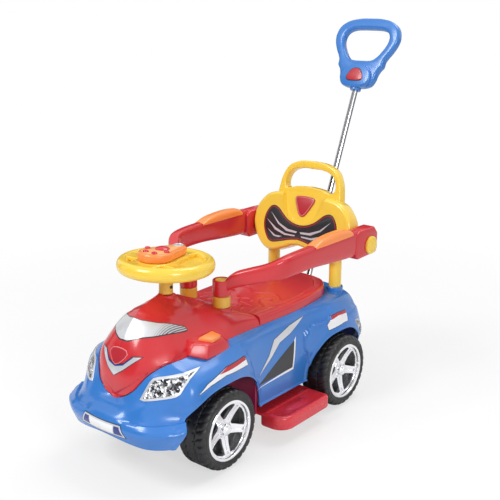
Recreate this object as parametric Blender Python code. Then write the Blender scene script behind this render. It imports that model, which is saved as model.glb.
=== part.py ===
"""Ride-on push car for a small child, built as an assembly.

Metres, +Z up. X runs across the car, the front faces -Y. While the parts are being modelled the front axle
lies at Y = 0 and the ground at Z = 0. At the end the whole car is moved so that the middle of its bounding
box stands over the origin.
"""

from math import asin, atan, cos, pi, radians, sin, tan

import bmesh
import bpy
from mathutils import Matrix, Vector

for old in list(bpy.data.objects):
    bpy.data.objects.remove(old, do_unlink=True)

# Fits
REST_GAP = 0.0003
RUN_GAP = 0.0005
SHIFT_GAP = 0.0015

# Wheels and axles
WHEELBASE = 0.375
TYRE_RADIUS = 0.080
TYRE_WIDTH = 0.066
TYRE_SIDE_RADIUS = 0.073
TYRE_SEGMENTS = 28
RIM_LIP_RADIUS = 0.061
RIM_BARREL_RADIUS = 0.0572
RIM_WALL = 0.003
RIM_SEGMENTS = 20
SPOKES = 5
SPOKE_WIDTH = 0.017
SPOKE_THICK = 0.006
SPOKE_DISH = 0.008
HUB_RADIUS = 0.013
HUB_FRONT = 0.019
AXLE_RADIUS = 0.005
AXLE_BORE = AXLE_RADIUS + RUN_GAP
NUT_RADIUS = 0.009
NUT_THICK = 0.003
HUB_CAP_RADIUS = 0.0122
HUB_CAP_WALL = 0.0014
HUB_CAP_DEPTH = 0.009
FRONT_TRACK_X = 0.1177
REAR_TRACK_X = 0.1326
AXLE_Z = TYRE_RADIUS

# Steering
CASTER = radians(2.5)
STEERING_WHEEL_Y = -0.0095
STEERING_WHEEL_Z = 0.386
STEERING_RING_RADIUS = 0.0825
STEERING_RING_WIDE = 0.024
STEERING_RING_TALL = 0.028
STEERING_DISH_THICK = 0.008
STEERING_HUB_RADIUS = 0.020
SLEEVE_RADIUS = 0.014
SLEEVE_WALL = 0.003
SLEEVE_BOTTOM_Z = 0.3290
SHAFT_RADIUS = 0.006
SHAFT_BORE = SHAFT_RADIUS + RUN_GAP
CRANK_LENGTH = 0.038
CRANK_DROP = 0.0155
CRANK_THICK = 0.005
CRANK_WIDE = 0.012
LINK_PIN_RADIUS = 0.003
LINK_PIN_LENGTH = 0.009
TIE_PLATE_THICK = 0.005
TIE_PLATE_WIDE = 0.014
KINGPIN_X = 0.068
KINGPIN_RADIUS = 0.005
KINGPIN_BOSS_RADIUS = 0.011
KINGPIN_BOSS_BOTTOM = 0.014
KINGPIN_BOSS_TOP = 0.070
STUB_SHOULDER_RADIUS = 0.008

# Sound console on the steering wheel
CONSOLE_BOTTOM = 0.0135
CONSOLE_HEIGHT = 0.0175
CONSOLE_WALL = 0.0025
CONSOLE_FRONT_Y = -0.028
CONSOLE_FRONT_RADIUS = 0.034
CONSOLE_REAR_Y = 0.034
CONSOLE_REAR_RADIUS = 0.016
HORN_Y = -0.010
HORN_RADIUS = 0.0135
HORN_RISE = 0.006
MELODY_RADIUS = 0.0055
MELODY_RISE = 0.0035
MELODY_PLACES = ((-0.0235, -0.026), (-0.007, -0.047), (0.0145, -0.046), (0.0232, -0.0225))
BUTTON_TRAVEL = 0.002
BUTTON_BODY = 0.006
SPEAKER_RADIUS = 0.010

# Body shell: heights of the door sill and of the line where hood and seat meet the body
SILL_Z = 0.078
COVER_Z = 0.240
BODY_HALF_WIDTH = 0.150
SEAT_HALF_WIDTH = 0.109
BODY_WALL = 0.003
COVER_WALL = 0.0025
COVER_GAP = 0.0007
GROOVE_DEPTH = 0.008
SKIRT_DEPTH = 0.0055
LEDGE_WIDTH = 0.012
ARCH_EXPONENT = 2.35
FRONT_ARCH_LENGTH = 0.252
FRONT_ARCH_RISE = 0.098
REAR_ARCH_LENGTH = 0.178
REAR_ARCH_RISE = 0.095
ARCH_INNER_X = 0.100

# Seat lid
SEAT_RISE = 0.020
SEAT_ROUND = 0.009
SEAT_FRONT_Y = 0.147
SEAT_REAR_Y = WHEELBASE + 0.073
HINGE_RADIUS = 0.0025
HINGE_INSET = 0.003
HINGE_LENGTH = 0.052

# Chassis
TUB_HALF_WIDTH = 0.093
TUB_WALL = 0.003
TUB_FLOOR_Z = 0.062
TUB_REAR_FLOOR_RISE = 0.018
TUB_STEP_BACK = 0.075
BULKHEAD_Y = 0.112
BULKHEAD_THICK = 0.004
BULKHEAD_HALF_WIDTH = 0.121
BULKHEAD_TOP_Z = 0.200
TONGUE_HALF_WIDTH = 0.040
TONGUE_TOP_Z = 0.150
TONGUE_HEIGHT = 0.040
TONGUE_FRONT_Y = -0.045
TONGUE_WALL = 0.003
BEARING_RADIUS = 0.012
BEARING_TOP_Z = 0.245
AXLE_BRACKET_X = 0.085
AXLE_BRACKET_WIDE = 0.020
AXLE_BRACKET_LONG = 0.024

# Footrests and their rails
FOOTREST_OUTER_X = 0.181
FOOTREST_INNER_X = 0.058
FOOTREST_PAD_X = 0.122
FOOTREST_WHEEL_GAP = 0.0015
FOOTREST_LENGTH = 0.1635
FOOTREST_REAR_Y = WHEELBASE - TYRE_RADIUS - FOOTREST_WHEEL_GAP
FOOTREST_FRONT_Y = FOOTREST_REAR_Y - FOOTREST_LENGTH
FOOTREST_TOP_Z = 0.059
FOOTREST_HEIGHT = 0.030
FOOTREST_WALL = 0.003
FOOTREST_CORNER = 0.024
FOOTREST_REAR_CORNER = 0.012
FOOTREST_EAR_WIDE = 0.005
FOOTREST_EAR_LONG = 0.017
FOOTREST_EAR_THICK = 0.006
RAIL_WIDE = 0.009
RAIL_HALF_LENGTH = 0.084
RAIL_HEIGHT = 0.023

# Front posts and guard arms
POST_X = 0.045
POST_Y = 0.099
POST_RING_RADIUS = 0.018
POST_RING_BOTTOM_Z = 0.281
POST_RING_TOP_Z = 0.304
POST_PEG_RADIUS = 0.014
POST_TIP_RADIUS = 0.0128
POST_SPIGOT_RADIUS = 0.010
POST_SPIGOT_LENGTH = 0.022
ARM_SLEEVE_RADIUS = 0.0182
ARM_SLEEVE_WALL = 0.0024
ARM_SLEEVE_HEIGHT = 0.054
ARM_THICK = 0.023
ARM_CHAMFER = 0.006
ARM_SIDE_X = 0.153
ARM_TOP_Z = 0.394
ARM_PIVOT_Y = WHEELBASE + 0.083
ARM_PIVOT_Z = 0.352
ARM_PIVOT_RADIUS = 0.008
ARM_BLOCK_INNER_X = 0.1355
ARM_BLOCK_WIDE = 0.031
ARM_BLOCK_FRONT = 0.056
ARM_BLOCK_REAR = 0.030
ARM_CAP_RADIUS = 0.020
ARM_CAP_THICK = 0.006
PAD_FRONT_Y = 0.253
PAD_LENGTH = 0.137
PAD_WIDE = 0.027
PAD_RISE = 0.014

# Backrest
BACKREST_LEAN = radians(12.0)
BACKREST_Y = WHEELBASE + 0.030
BACKREST_Z = 0.297
BACKREST_THICK = 0.042
BACKREST_GRIP_THICK = 0.024
BACKREST_VALLEY = 0.002
BACKREST_VALLEY_SLOPE = 0.16
BADGE_LEVEL = 0.125
LEG_X = 0.087
LEG_Y = WHEELBASE + 0.067
LEG_RADIUS = 0.014
LEG_BOTTOM_Z = 0.224
COLLAR_WALL = 0.004
COLLAR_TOP_Z = 0.246
EAR_RADIUS = 0.018
EAR_GAP = 0.001
PANEL_THICK = 0.002
PANEL_SINK = 0.0015
BADGE_THICK = 0.0025

# Push rod and handle
ROD_TILT = radians(22.9)
ROD_FOOT_Y = WHEELBASE + 0.092
ROD_FOOT_Z = 0.259
ROD_RADIUS = 0.006
ROD_SOCKET_RADIUS = 0.0085
ROD_SOCKET_DEPTH = 0.090
ROD_SOCKET_DROP = 0.012
ROD_BOLT_RADIUS = 0.002
ROD_BOLT_DROP = 0.050
HANDLE_HEIGHT_ON_ROD = 0.4255
HANDLE_THICK = 0.021
HANDLE_BOSS_RADIUS = 0.030
HANDLE_BOSS_RISE = 0.008
HANDLE_COLLAR_RADIUS = 0.013
HANDLE_BADGE_RADIUS = 0.017


# building helpers
def material(name, colour, roughness, metallic=0.0):
    mat = bpy.data.materials.new(name)
    mat.use_nodes = True
    shader = mat.node_tree.nodes["Principled BSDF"]
    shader.inputs["Base Color"].default_value = (*colour, 1.0)
    shader.inputs["Roughness"].default_value = roughness
    shader.inputs["Metallic"].default_value = metallic
    mat.diffuse_color = (*colour, 1.0)
    return mat


BLUE = material("blue plastic", (0.045, 0.21, 0.61), 0.28)
RED = material("red plastic", (0.51, 0.03, 0.04), 0.28)
YELLOW = material("yellow plastic", (0.87, 0.58, 0.06), 0.32)
ORANGE = material("orange plastic", (0.95, 0.30, 0.07), 0.32)
CRIMSON = material("crimson plastic", (0.33, 0.012, 0.07), 0.45)
BLACK = material("black plastic", (0.012, 0.012, 0.013), 0.5)
TYRE = material("tyre", (0.018, 0.018, 0.019), 0.6)
CHROME = material("chrome", (0.82, 0.83, 0.85), 0.12, 1.0)
STEEL = material("steel", (0.45, 0.46, 0.48), 0.35, 1.0)
SILVER = material("silver plastic", (0.62, 0.64, 0.67), 0.35, 0.4)


def mesh_object(name, bm, mat=None, smooth_angle=35.0):
    bmesh.ops.remove_doubles(bm, verts=bm.verts, dist=1e-6)
    bmesh.ops.recalc_face_normals(bm, faces=bm.faces)
    mesh = bpy.data.meshes.new(name)
    bm.to_mesh(mesh)
    bm.free()
    if mat:
        mesh.materials.append(mat)
    mesh.shade_smooth()
    mesh.set_sharp_from_angle(angle=radians(smooth_angle))
    obj = bpy.data.objects.new(name, mesh)
    bpy.context.scene.collection.objects.link(obj)
    return obj


def moved(obj, matrix):
    obj.data.transform(matrix)
    obj.data.update()
    return obj


def mirrored(obj):
    """Turn a left piece into a right one."""
    moved(obj, Matrix.Scale(-1, 4, (1, 0, 0)))
    obj.data.flip_normals()
    return obj


def turned_x(obj):
    """Lay a piece that was turned round Z along +X."""
    return moved(obj, Matrix.Rotation(pi / 2, 4, "Y"))


def box(name, x0, x1, y0, y1, z0, z1, mat=None):
    bm = bmesh.new()
    bmesh.ops.create_cube(bm, size=1.0)
    for v in bm.verts:
        v.co = Vector((x1 if v.co.x > 0 else x0, y1 if v.co.y > 0 else y0, z1 if v.co.z > 0 else z0))
    return mesh_object(name, bm, mat)


def prism(name, outline, low, high, mat=None):
    """An outline in the XY plane, extruded from low to high along Z."""
    bm = bmesh.new()
    face = bm.faces.new([bm.verts.new((x, y, low)) for x, y in outline])
    made = bmesh.ops.extrude_face_region(bm, geom=[face])
    rise = [v for v in made["geom"] if isinstance(v, bmesh.types.BMVert)]
    bmesh.ops.translate(bm, verts=rise, vec=(0, 0, high - low))
    return mesh_object(name, bm, mat)


def facing_prism(name, outline, front, back, mat=None):
    """An outline in the XZ plane, extruded along Y from front to back."""
    obj = prism(name, [(x, z) for x, z in outline], -back, -front, mat)
    return moved(obj, Matrix.Rotation(pi / 2, 4, "X"))


def turned(name, profile, steps, mat=None, phase=0.0, closed=False):
    """A profile of (radius, height) points turned round Z; a closed one makes a ring."""
    bm = bmesh.new()
    verts = [bm.verts.new((r * cos(phase), r * sin(phase), z)) for r, z in profile]
    edges = [bm.edges.new(pair) for pair in zip(verts, verts[1:])]
    if closed:
        edges.append(bm.edges.new((verts[-1], verts[0])))
    bmesh.ops.spin(bm, geom=verts + edges, cent=(0, 0, 0), axis=(0, 0, 1), angle=2 * pi, steps=steps,
                   use_merge=True)
    return mesh_object(name, bm, mat)


def rod(name, radius, low, high, steps=12, mat=None):
    return turned(name, [(0, low), (radius, low), (radius, high), (0, high)], steps, mat)


def tube(name, outer, inner, low, high, steps=16, mat=None):
    return turned(name, [(inner, low), (outer, low), (outer, high), (inner, high)], steps, mat, closed=True)


def hull(name, points, mat=None):
    bm = bmesh.new()
    for p in points:
        bm.verts.new(p)
    made = bmesh.ops.convex_hull(bm, input=bm.verts)
    inner = [v for v in made["geom_interior"] if isinstance(v, bmesh.types.BMVert)]
    bmesh.ops.delete(bm, geom=inner, context="VERTS")
    return mesh_object(name, bm, mat)


def combine(target, others, operation):
    """Join or cut the others into the target and clean the seams."""
    for other in others:
        mod = target.modifiers.new(operation.lower(), "BOOLEAN")
        mod.operation = operation
        mod.solver = "EXACT"
        mod.use_self = True
        mod.object = other
    graph = bpy.context.evaluated_depsgraph_get()
    mesh = bpy.data.meshes.new_from_object(target.evaluated_get(graph), depsgraph=graph)
    target.modifiers.clear()
    mat = target.data.materials[0] if target.data.materials else None
    bm = bmesh.new()
    bm.from_mesh(mesh)
    bmesh.ops.remove_doubles(bm, verts=bm.verts, dist=5e-5)
    bmesh.ops.dissolve_degenerate(bm, edges=bm.edges, dist=5e-5)
    bmesh.ops.dissolve_limit(bm, angle_limit=radians(0.3), verts=bm.verts, edges=bm.edges)
    bmesh.ops.triangulate(bm, faces=bm.faces)
    bm.to_mesh(mesh)
    bm.free()
    mesh.materials.clear()
    if mat:
        mesh.materials.append(mat)
    mesh.polygons.foreach_set("material_index", [0] * len(mesh.polygons))
    mesh.shade_smooth()
    mesh.set_sharp_from_angle(angle=radians(35.0))
    target.data = mesh
    for other in others:
        bpy.data.objects.remove(other, do_unlink=True)
    return target


def fuse(target, *others):
    return combine(target, others, "UNION")


def cut(target, *others):
    return combine(target, others, "DIFFERENCE")


def spline(points, t):
    """Catmull-Rom value at t, in steps of one per point, with the ends held."""
    last = len(points) - 1
    i = min(int(t), last - 1)
    f = t - i
    a, b, c, d = (Vector(points[min(max(k, 0), last)]) for k in (i - 1, i, i + 1, i + 2))
    if i == 0:
        a = 2 * b - c
    if i + 2 > last:
        d = 2 * c - b
    return 0.5 * (2 * b + (c - a) * f + (2 * a - 5 * b + 4 * c - d) * f ** 2 + (3 * b - a - 3 * c + d) * f ** 3)


def smooth_open(points, parts):
    last = (len(points) - 1) * parts
    return [spline(points, k / parts) for k in range(last + 1)]


def smooth_half(points, parts):
    """A half outline from the centre line round to the centre line, smoothed and mirrored."""
    run = smooth_open(points, parts)
    mirrored = [Vector((-p.x, p.y)) for p in reversed(run) if abs(p.x) > 1e-5]
    return [(p.x, p.y) for p in run] + [(p.x, p.y) for p in mirrored]


def grid_skin(name, rows, wall, mat, cap_merge=True):
    """A skin through rows of points, thickened inwards. Rows run over the visible side left to right."""
    bm = bmesh.new()
    verts = [[bm.verts.new(p) for p in row] for row in rows]
    for upper, lower in zip(verts, verts[1:]):
        for k in range(len(upper) - 1):
            bm.faces.new((upper[k], upper[k + 1], lower[k + 1], lower[k]))
    if cap_merge:
        bmesh.ops.remove_doubles(bm, verts=bm.verts, dist=1e-5)
    bmesh.ops.recalc_face_normals(bm, faces=bm.faces)
    mesh = bpy.data.meshes.new(name)
    bm.to_mesh(mesh)
    bm.free()
    mesh.materials.append(mat)
    obj = bpy.data.objects.new(name, mesh)
    bpy.context.scene.collection.objects.link(obj)
    mod = obj.modifiers.new("wall", "SOLIDIFY")
    mod.thickness = wall
    mod.offset = -1.0
    mod.use_even_offset = True
    mod.use_quality_normals = True
    return combine(obj, [], "UNION")


# the bodies that move
root = bpy.data.objects.new("car", None)
bpy.context.scene.collection.objects.link(root)


def frame(name, parent, location, tilt=0.0):
    """An empty on a joint's axis; tilt turns it round X."""
    empty = bpy.data.objects.new(name, None)
    bpy.context.scene.collection.objects.link(empty)
    empty.parent = parent
    empty.location = location
    empty.rotation_euler = (tilt, 0, 0)
    return empty


def put(obj, parent, origin=None):
    """Hang a piece on its body. An origin given in the body's frame becomes the piece's own origin."""
    obj.parent = parent
    if origin is not None:
        obj.data.transform(Matrix.Translation(-Vector(origin)))
        obj.location = origin
    return obj


# body shell, hood and seat from shared sections
def side(inset):
    return BODY_HALF_WIDTH - inset


def lid(inset):
    return SEAT_HALF_WIDTH - inset


def sill(rise):
    return SILL_Z + rise


def top(drop):
    return COVER_Z - drop


def aft(back):
    return WHEELBASE + back


# Each section: seven points from the bottom edge up to the cover line, then the direction into the groove
# and the direction in which the cover leaves the line.
SECTIONS = [
    ([(0, -.186, sill(.026)), (0, -.191, sill(.044)), (0, -.186, sill(.062)), (0, -.170, sill(.073)),
      (0, -.164, sill(.079)), (0, -.159, sill(.082)), (0, -.154, sill(.085))], (0, 1, -.1), (0, .05, 1)),
    ([(.066, -.176, sill(.017)), (.067, -.185, sill(.043)), (.066, -.177, sill(.060)), (.062, -.165, sill(.081)),
      (.064, -.153, sill(.096)), (.056, -.149, sill(.109)), (.042, -.147, sill(.115))], (0, 1, -.2), (-.4, .05, .9)),
    ([(.104, -.161, sill(.013)), (.106, -.173, sill(.044)), (.104, -.161, sill(.060)), (.098, -.143, sill(.083)),
      (.100, -.128, sill(.106)), (.086, -.124, sill(.133)), (.066, -.131, sill(.136))], (-.1, .9, -.4), (-.6, .3, .7)),
    ([(.133, -.124, sill(.011)), (.147, -.137, sill(.044)), (.137, -.119, sill(.061)), (.128, -.112, sill(.082)),
      (.126, -.103, sill(.108)), (.110, -.092, sill(.140)), (.083, -.106, top(.010))], (-.2, .6, -.8), (-.7, .3, .6)),
    ([(.140, -.070, sill(.010)), (side(-.001), -.084, sill(.042)), (side(.002), -.086, sill(.063)),
      (side(.004), -.083, sill(.092)), (.139, -.078, sill(.118)), (.116, -.075, top(.022)),
      (.094, -.072, top(.005))], (-.2, .2, -1), (-.85, .2, .45)),
    ([(side(.012), 0, sill(.007)), (side(.004), 0, sill(.032)), (side(.002), 0, sill(.063)), (side(.003), 0, sill(.092)),
      (side(.006), 0, top(.036)), (side(.027), 0, top(.014)), (lid(.006), 0, top(.001))], (0, 0, -1), (-1, 0, .1)),
    ([(side(.022), .060, sill(.003)), (side(.012), .060, sill(.030)), (side(.011), .060, sill(.060)),
      (side(.011), .060, sill(.088)), (side(.013), .058, top(.038)), (side(.027), .054, top(.012)),
      (lid(.005), .052, COVER_Z)], (0, 0, -1), (-1, 0, .1)),
    ([(side(.024), .110, SILL_Z), (side(.022), .108, sill(.027)), (side(.020), .106, sill(.057)),
      (side(.020), .104, sill(.084)), (side(.022), .102, top(.042)), (side(.029), .100, top(.010)),
      (lid(.005), .098, COVER_Z)], (0, 0, -1), (-1, 0, 0)),
    ([(side(.024), SEAT_FRONT_Y, SILL_Z), (side(.023), SEAT_FRONT_Y, sill(.027)), (side(.023), SEAT_FRONT_Y, sill(.057)),
      (side(.024), SEAT_FRONT_Y, sill(.084)), (side(.027), SEAT_FRONT_Y, top(.036)),
      (side(.032), SEAT_FRONT_Y, top(.011)), (lid(.003), SEAT_FRONT_Y, COVER_Z)], (0, 0, -1), (-1, 0, 0)),
    ([(side(.024), aft(-.160), SILL_Z), (side(.023), aft(-.160), sill(.027)), (side(.022), aft(-.160), sill(.057)),
      (side(.023), aft(-.160), sill(.084)), (side(.026), aft(-.160), top(.036)), (side(.032), aft(-.160), top(.011)),
      (lid(0), aft(-.160), COVER_Z)], (0, 0, -1), (-1, 0, 0)),
    ([(side(.024), aft(-.090), SILL_Z), (side(.022), aft(-.090), sill(.027)), (side(.018), aft(-.090), sill(.057)),
      (side(.016), aft(-.090), sill(.080)), (side(.020), aft(-.090), top(.036)), (side(.030), aft(-.090), top(.011)),
      (lid(0), aft(-.090), COVER_Z)], (0, 0, -1), (-1, 0, 0)),
    ([(side(.004), aft(0), sill(.017)), (side(0), aft(0), sill(.037)), (side(-.002), aft(0), sill(.062)),
      (side(-.002), aft(0), sill(.088)), (side(.004), aft(0), top(.034)), (side(.022), aft(0), top(.008)),
      (lid(.011), aft(0), COVER_Z)], (0, 0, -1), (-1, -.25, 0)),
    ([(side(.023), aft(.096), sill(.022)), (side(.017), aft(.101), sill(.042)), (side(.013), aft(.102), sill(.063)),
      (side(.015), aft(.098), sill(.088)), (side(.021), aft(.090), top(.040)), (side(.039), aft(.080), top(.010)),
      (.068, aft(.051), COVER_Z)], (0, 0, -1), (-.7, -.7, 0)),
    ([(.066, aft(.121), sill(.022)), (.068, aft(.126), sill(.041)), (.069, aft(.127), sill(.063)),
      (.068, aft(.124), sill(.088)), (.064, aft(.117), top(.040)), (.056, aft(.106), top(.009)),
      (.036, aft(.068), COVER_Z)], (0, 0, -1), (-.4, -.9, 0)),
    ([(0, aft(.129), sill(.022)), (0, aft(.133), sill(.040)), (0, aft(.134), sill(.062)), (0, aft(.132), sill(.087)),
      (0, aft(.125), top(.040)), (0, aft(.113), top(.009)), (0, SEAT_REAR_Y, COVER_Z)], (0, 0, -1), (0, -1, 0)),
]
SEAM = 8
TAIL = len(SECTIONS) - 1
ALONG = 2
ACROSS = 1

# Hood sections, one for each body section from the nose to the seam: two shoulder points and the ridge.
HOOD_SECTIONS = [
    [(0, -.152, sill(.086)), (0, -.152, sill(.087)), (0, -.152, sill(.088))],
    [(.026, -.152, sill(.126)), (.013, -.153, sill(.130)), (0, -.153, sill(.131))],
    [(.052, -.134, top(.006)), (.028, -.137, top(-.006)), (0, -.139, top(-.008))],
    [(.066, -.105, top(-.013)), (.036, -.110, top(-.038)), (0, -.111, top(-.050))],
    [(.079, -.070, top(-.018)), (.046, -.070, top(-.055)), (0, -.072, top(-.078))],
    [(.080, -.006, top(-.018)), (.043, -.010, top(-.055)), (0, -.016, top(-.0865))],
    [(.084, .050, top(-.018)), (.049, .050, top(-.044)), (0, .048, top(-.064))],
    [(.090, .098, top(-.020)), (.056, .098, top(-.038)), (0, .098, top(-.042))],
    [(.097, SEAT_FRONT_Y, top(-.015)), (.070, SEAT_FRONT_Y, top(-.0205)), (0, SEAT_FRONT_Y, top(-.0215))],
]


def section_rows(first, last, count, at):
    """Rows of points, one for each step between two sections; at(t) gives the row's points."""
    steps = (last - first) * count
    return [at(first + k / count) for k in range(steps + 1)]


def line_at(index, t):
    return spline([points[index] for points, _, _ in SECTIONS], t)


def direction_at(which, t):
    return spline([(s[1], s[2])[which] for s in SECTIONS], t).normalized()


def mirrored_row(half):
    """A half row that ends on the centre line, carried on over it."""
    other = [Vector((-p.x, p.y, p.z)) for p in reversed(half[:-1])]
    return half + other


def body_row(t):
    side_points = smooth_open([line_at(k, t) for k in range(7)], ACROSS)
    edge = side_points[-1]
    into, away = direction_at(0, t), direction_at(1, t)
    return side_points + [edge + into * GROOVE_DEPTH, edge + into * GROOVE_DEPTH + away * LEDGE_WIDTH]


half_rows = section_rows(0, TAIL, ALONG, body_row)
full_rows = half_rows[:]
for row in reversed(half_rows[1:-1]):
    full_rows.append([Vector((-p.x, p.y, p.z)) for p in row])
full_rows.append(full_rows[0])
body_shell = grid_skin("body_shell", full_rows, BODY_WALL, BLUE)


def superellipse(half_length, rise, exponent, steps):
    """An arch's outline, (y, z) about the axle."""
    outline = []
    for k in range(steps):
        a = 2 * pi * k / steps
        c, s = cos(a), sin(a)
        y = half_length * abs(c) ** (2 / exponent) * (1 if c >= 0 else -1)
        z = rise * abs(s) ** (2 / exponent) * (1 if s >= 0 else -1)
        outline.append((y, z))
    return outline


def arch_cutter(name, centre_y, length, rise, sign):
    shape = superellipse(length / 2, rise, ARCH_EXPONENT, 28)
    obj = prism(name, shape, ARCH_INNER_X, BODY_HALF_WIDTH + 0.05)
    moved(obj, Matrix(((0, 0, 1, 0), (1, 0, 0, centre_y), (0, 1, 0, AXLE_Z), (0, 0, 0, 1))))
    return obj if sign > 0 else mirrored(obj)


cut(body_shell,
    arch_cutter("c1", -0.004, FRONT_ARCH_LENGTH, FRONT_ARCH_RISE, 1),
    arch_cutter("c2", -0.004, FRONT_ARCH_LENGTH, FRONT_ARCH_RISE, -1),
    arch_cutter("c3", WHEELBASE, REAR_ARCH_LENGTH, REAR_ARCH_RISE, 1),
    arch_cutter("c4", WHEELBASE, REAR_ARCH_LENGTH, REAR_ARCH_RISE, -1))

ROD_MATRIX = Matrix.Translation((0, ROD_FOOT_Y, ROD_FOOT_Z)) @ Matrix.Rotation(-ROD_TILT, 4, "X")
collar_radius = LEG_RADIUS + REST_GAP + COLLAR_WALL
collar_bottom_z = LEG_BOTTOM_Z - COLLAR_WALL
leg_collars = []
leg_holes = []
for sign in (1, -1):
    at_leg = Matrix.Translation((sign * LEG_X, LEG_Y, 0))
    leg_collars.append(moved(rod("collar", collar_radius, collar_bottom_z, COLLAR_TOP_Z, 16), at_leg))
    leg_holes.append(moved(rod("hole", LEG_RADIUS + REST_GAP, LEG_BOTTOM_Z - REST_GAP, COLLAR_TOP_Z + .01, 16), at_leg))
socket = moved(rod("socket", ROD_SOCKET_RADIUS, -ROD_SOCKET_DEPTH, -ROD_SOCKET_DROP, 14), ROD_MATRIX)
socket_bore = moved(rod("bore", ROD_RADIUS + REST_GAP, 0.003 - ROD_SOCKET_DEPTH, 0.01, 14), ROD_MATRIX)
bolt_level = -ROD_BOLT_DROP
bolt_bore = moved(turned_x(rod("bolt bore", ROD_BOLT_RADIUS + REST_GAP, -0.02, 0.02, 8)),
                  ROD_MATRIX @ Matrix.Translation((0, 0, bolt_level)))
fuse(body_shell, *leg_collars, socket)
cut(body_shell, *leg_holes, socket_bore, bolt_bore)
put(body_shell, root)


def cover_edge(t, slack=COVER_GAP):
    """The edge of a cover that stands in the body's groove, and the foot of its skirt."""
    edge = line_at(6, t) + direction_at(1, t) * slack
    foot = edge + direction_at(0, t) * SKIRT_DEPTH
    return edge, foot


def hood_row(t):
    edge, foot = cover_edge(t)
    inner = [spline([row[k] for row in HOOD_SECTIONS], t) for k in range(3)]
    half = smooth_open([edge, *inner], 2)
    return mirrored_row([foot, *half])


hood_rows = section_rows(0, SEAM, ALONG, hood_row)
hood_rear_y = SEAT_FRONT_Y - COVER_GAP
for row in hood_rows:
    for p in row:
        p.y = min(p.y, hood_rear_y)
hood_cover = grid_skin("hood_cover", hood_rows, COVER_WALL, RED)

# Steering column line and post places on the hood
COLUMN_MATRIX = Matrix.Translation((0, STEERING_WHEEL_Y, STEERING_WHEEL_Z)) @ Matrix.Rotation(-CASTER, 4, "X")


def column_y(z):
    return STEERING_WHEEL_Y - (STEERING_WHEEL_Z - z) * tan(CASTER)


sleeve_low = (SLEEVE_BOTTOM_Z - STEERING_WHEEL_Z) / cos(CASTER)
hood_boss = moved(rod("boss", SLEEVE_RADIUS + 0.002, sleeve_low - 0.030, sleeve_low - SHIFT_GAP, 16), COLUMN_MATRIX)
hood_bore = moved(rod("bore", SHAFT_BORE, sleeve_low - 0.05, sleeve_low + 0.01, 12), COLUMN_MATRIX)
post_bosses = []
post_bores = []
for sign in (1, -1):
    at_post = Matrix.Translation((sign * POST_X, POST_Y, 0))
    low = POST_RING_BOTTOM_Z - POST_SPIGOT_LENGTH
    seat_z = POST_RING_BOTTOM_Z - REST_GAP
    post_bosses.append(moved(rod("boss", POST_RING_RADIUS + .002, low, seat_z, 16), at_post))
    post_bores.append(moved(rod("seat", POST_RING_RADIUS + RUN_GAP, seat_z, seat_z + .03, 16), at_post))
    post_bores.append(moved(rod("bore", POST_SPIGOT_RADIUS + REST_GAP, low - .01, POST_RING_BOTTOM_Z + .01, 16), at_post))

POD_POINTS = [(.082, -.052, top(-.002)), (.100, -.058, top(0)), (.1225, -.030, top(.0105)), (.1195, .038, top(.0125)),
              (.106, .050, top(-.001)), (.082, .044, top(-.001)), (.080, -.040, top(-.022)), (.099, -.044, top(-.019)),
              (.117, -.020, top(-.013)), (.114, .026, top(-.011)), (.100, .034, top(-.013)), (.080, .030, top(-.020))]


def fender_block(name, drop):
    """The fender's upper surface, lifted by a clearance, as a block that reaches down from it."""
    bm = bmesh.new()
    rows = []
    for t in (4 + k / ALONG for k in range(4 * ALONG + 1)):
        row = body_row(t)[3 * ACROSS:6 * ACROSS + 1]
        row.append(row[-1] + direction_at(1, t) * RUN_GAP)
        rows.append([p + Vector((0, 0, COVER_GAP + REST_GAP)) for p in row])
    verts = [[bm.verts.new(p) for p in row] for row in rows]
    for upper, lower in zip(verts, verts[1:]):
        for k in range(len(upper) - 1):
            bm.faces.new((upper[k], upper[k + 1], lower[k + 1], lower[k]))
    made = bmesh.ops.extrude_face_region(bm, geom=bm.faces[:])
    low = [v for v in made["geom"] if isinstance(v, bmesh.types.BMVert)]
    bmesh.ops.translate(bm, verts=low, vec=(0, 0, -drop))
    return mesh_object(name, bm)


pods = []
for sign in (1, -1):
    pod = cut(hull("pod", POD_POINTS), fender_block("fender", .020))
    pods.append(pod if sign > 0 else mirrored(pod))
fuse(hood_cover, hood_boss, *post_bosses, *pods)
cut(hood_cover, hood_bore, *post_bores)
put(hood_cover, root)

LENS_POINTS = ((.094, -.026), (.090, .016), (.110, .020), (.114, -.006))
for sign, word in ((1, "left"), (-1, "right")):
    low = [(sign * x, y, top(-.0215) - (x - .090) * .25) for x, y in LENS_POINTS]
    lens = hull("mirror_lens_" + word, low + [(x, y, z + .004) for x, y, z in low], ORANGE)
    put(lens, root)


def world_piece(obj, empty):
    """Hang a piece modelled in the car's frame on an unturned empty."""
    return put(moved(obj, Matrix.Translation(-empty.location)), empty)


# seat lid on its hinge rod
def seat_row(t):
    edge, foot = cover_edge(t)
    away = direction_at(1, t)
    shoulder = edge + away * SEAT_ROUND
    shoulder.z = COVER_Z + SEAT_RISE
    bend = edge + away * SEAT_ROUND * 0.25
    bend.z = COVER_Z + SEAT_RISE * 0.72
    return mirrored_row([foot, edge, bend, shoulder, Vector((0, shoulder.y, shoulder.z))])


seat_rows = section_rows(SEAM, TAIL, ALONG, seat_row)
for row in seat_rows:
    for p in row:
        p.y = max(p.y, SEAT_FRONT_Y + COVER_GAP)
front_wall = [Vector((p.x, p.y, seat_rows[0][0].z)) for p in seat_rows[0]]
seat_lid = grid_skin("seat_lid", [front_wall, *seat_rows], COVER_WALL, RED)

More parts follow.
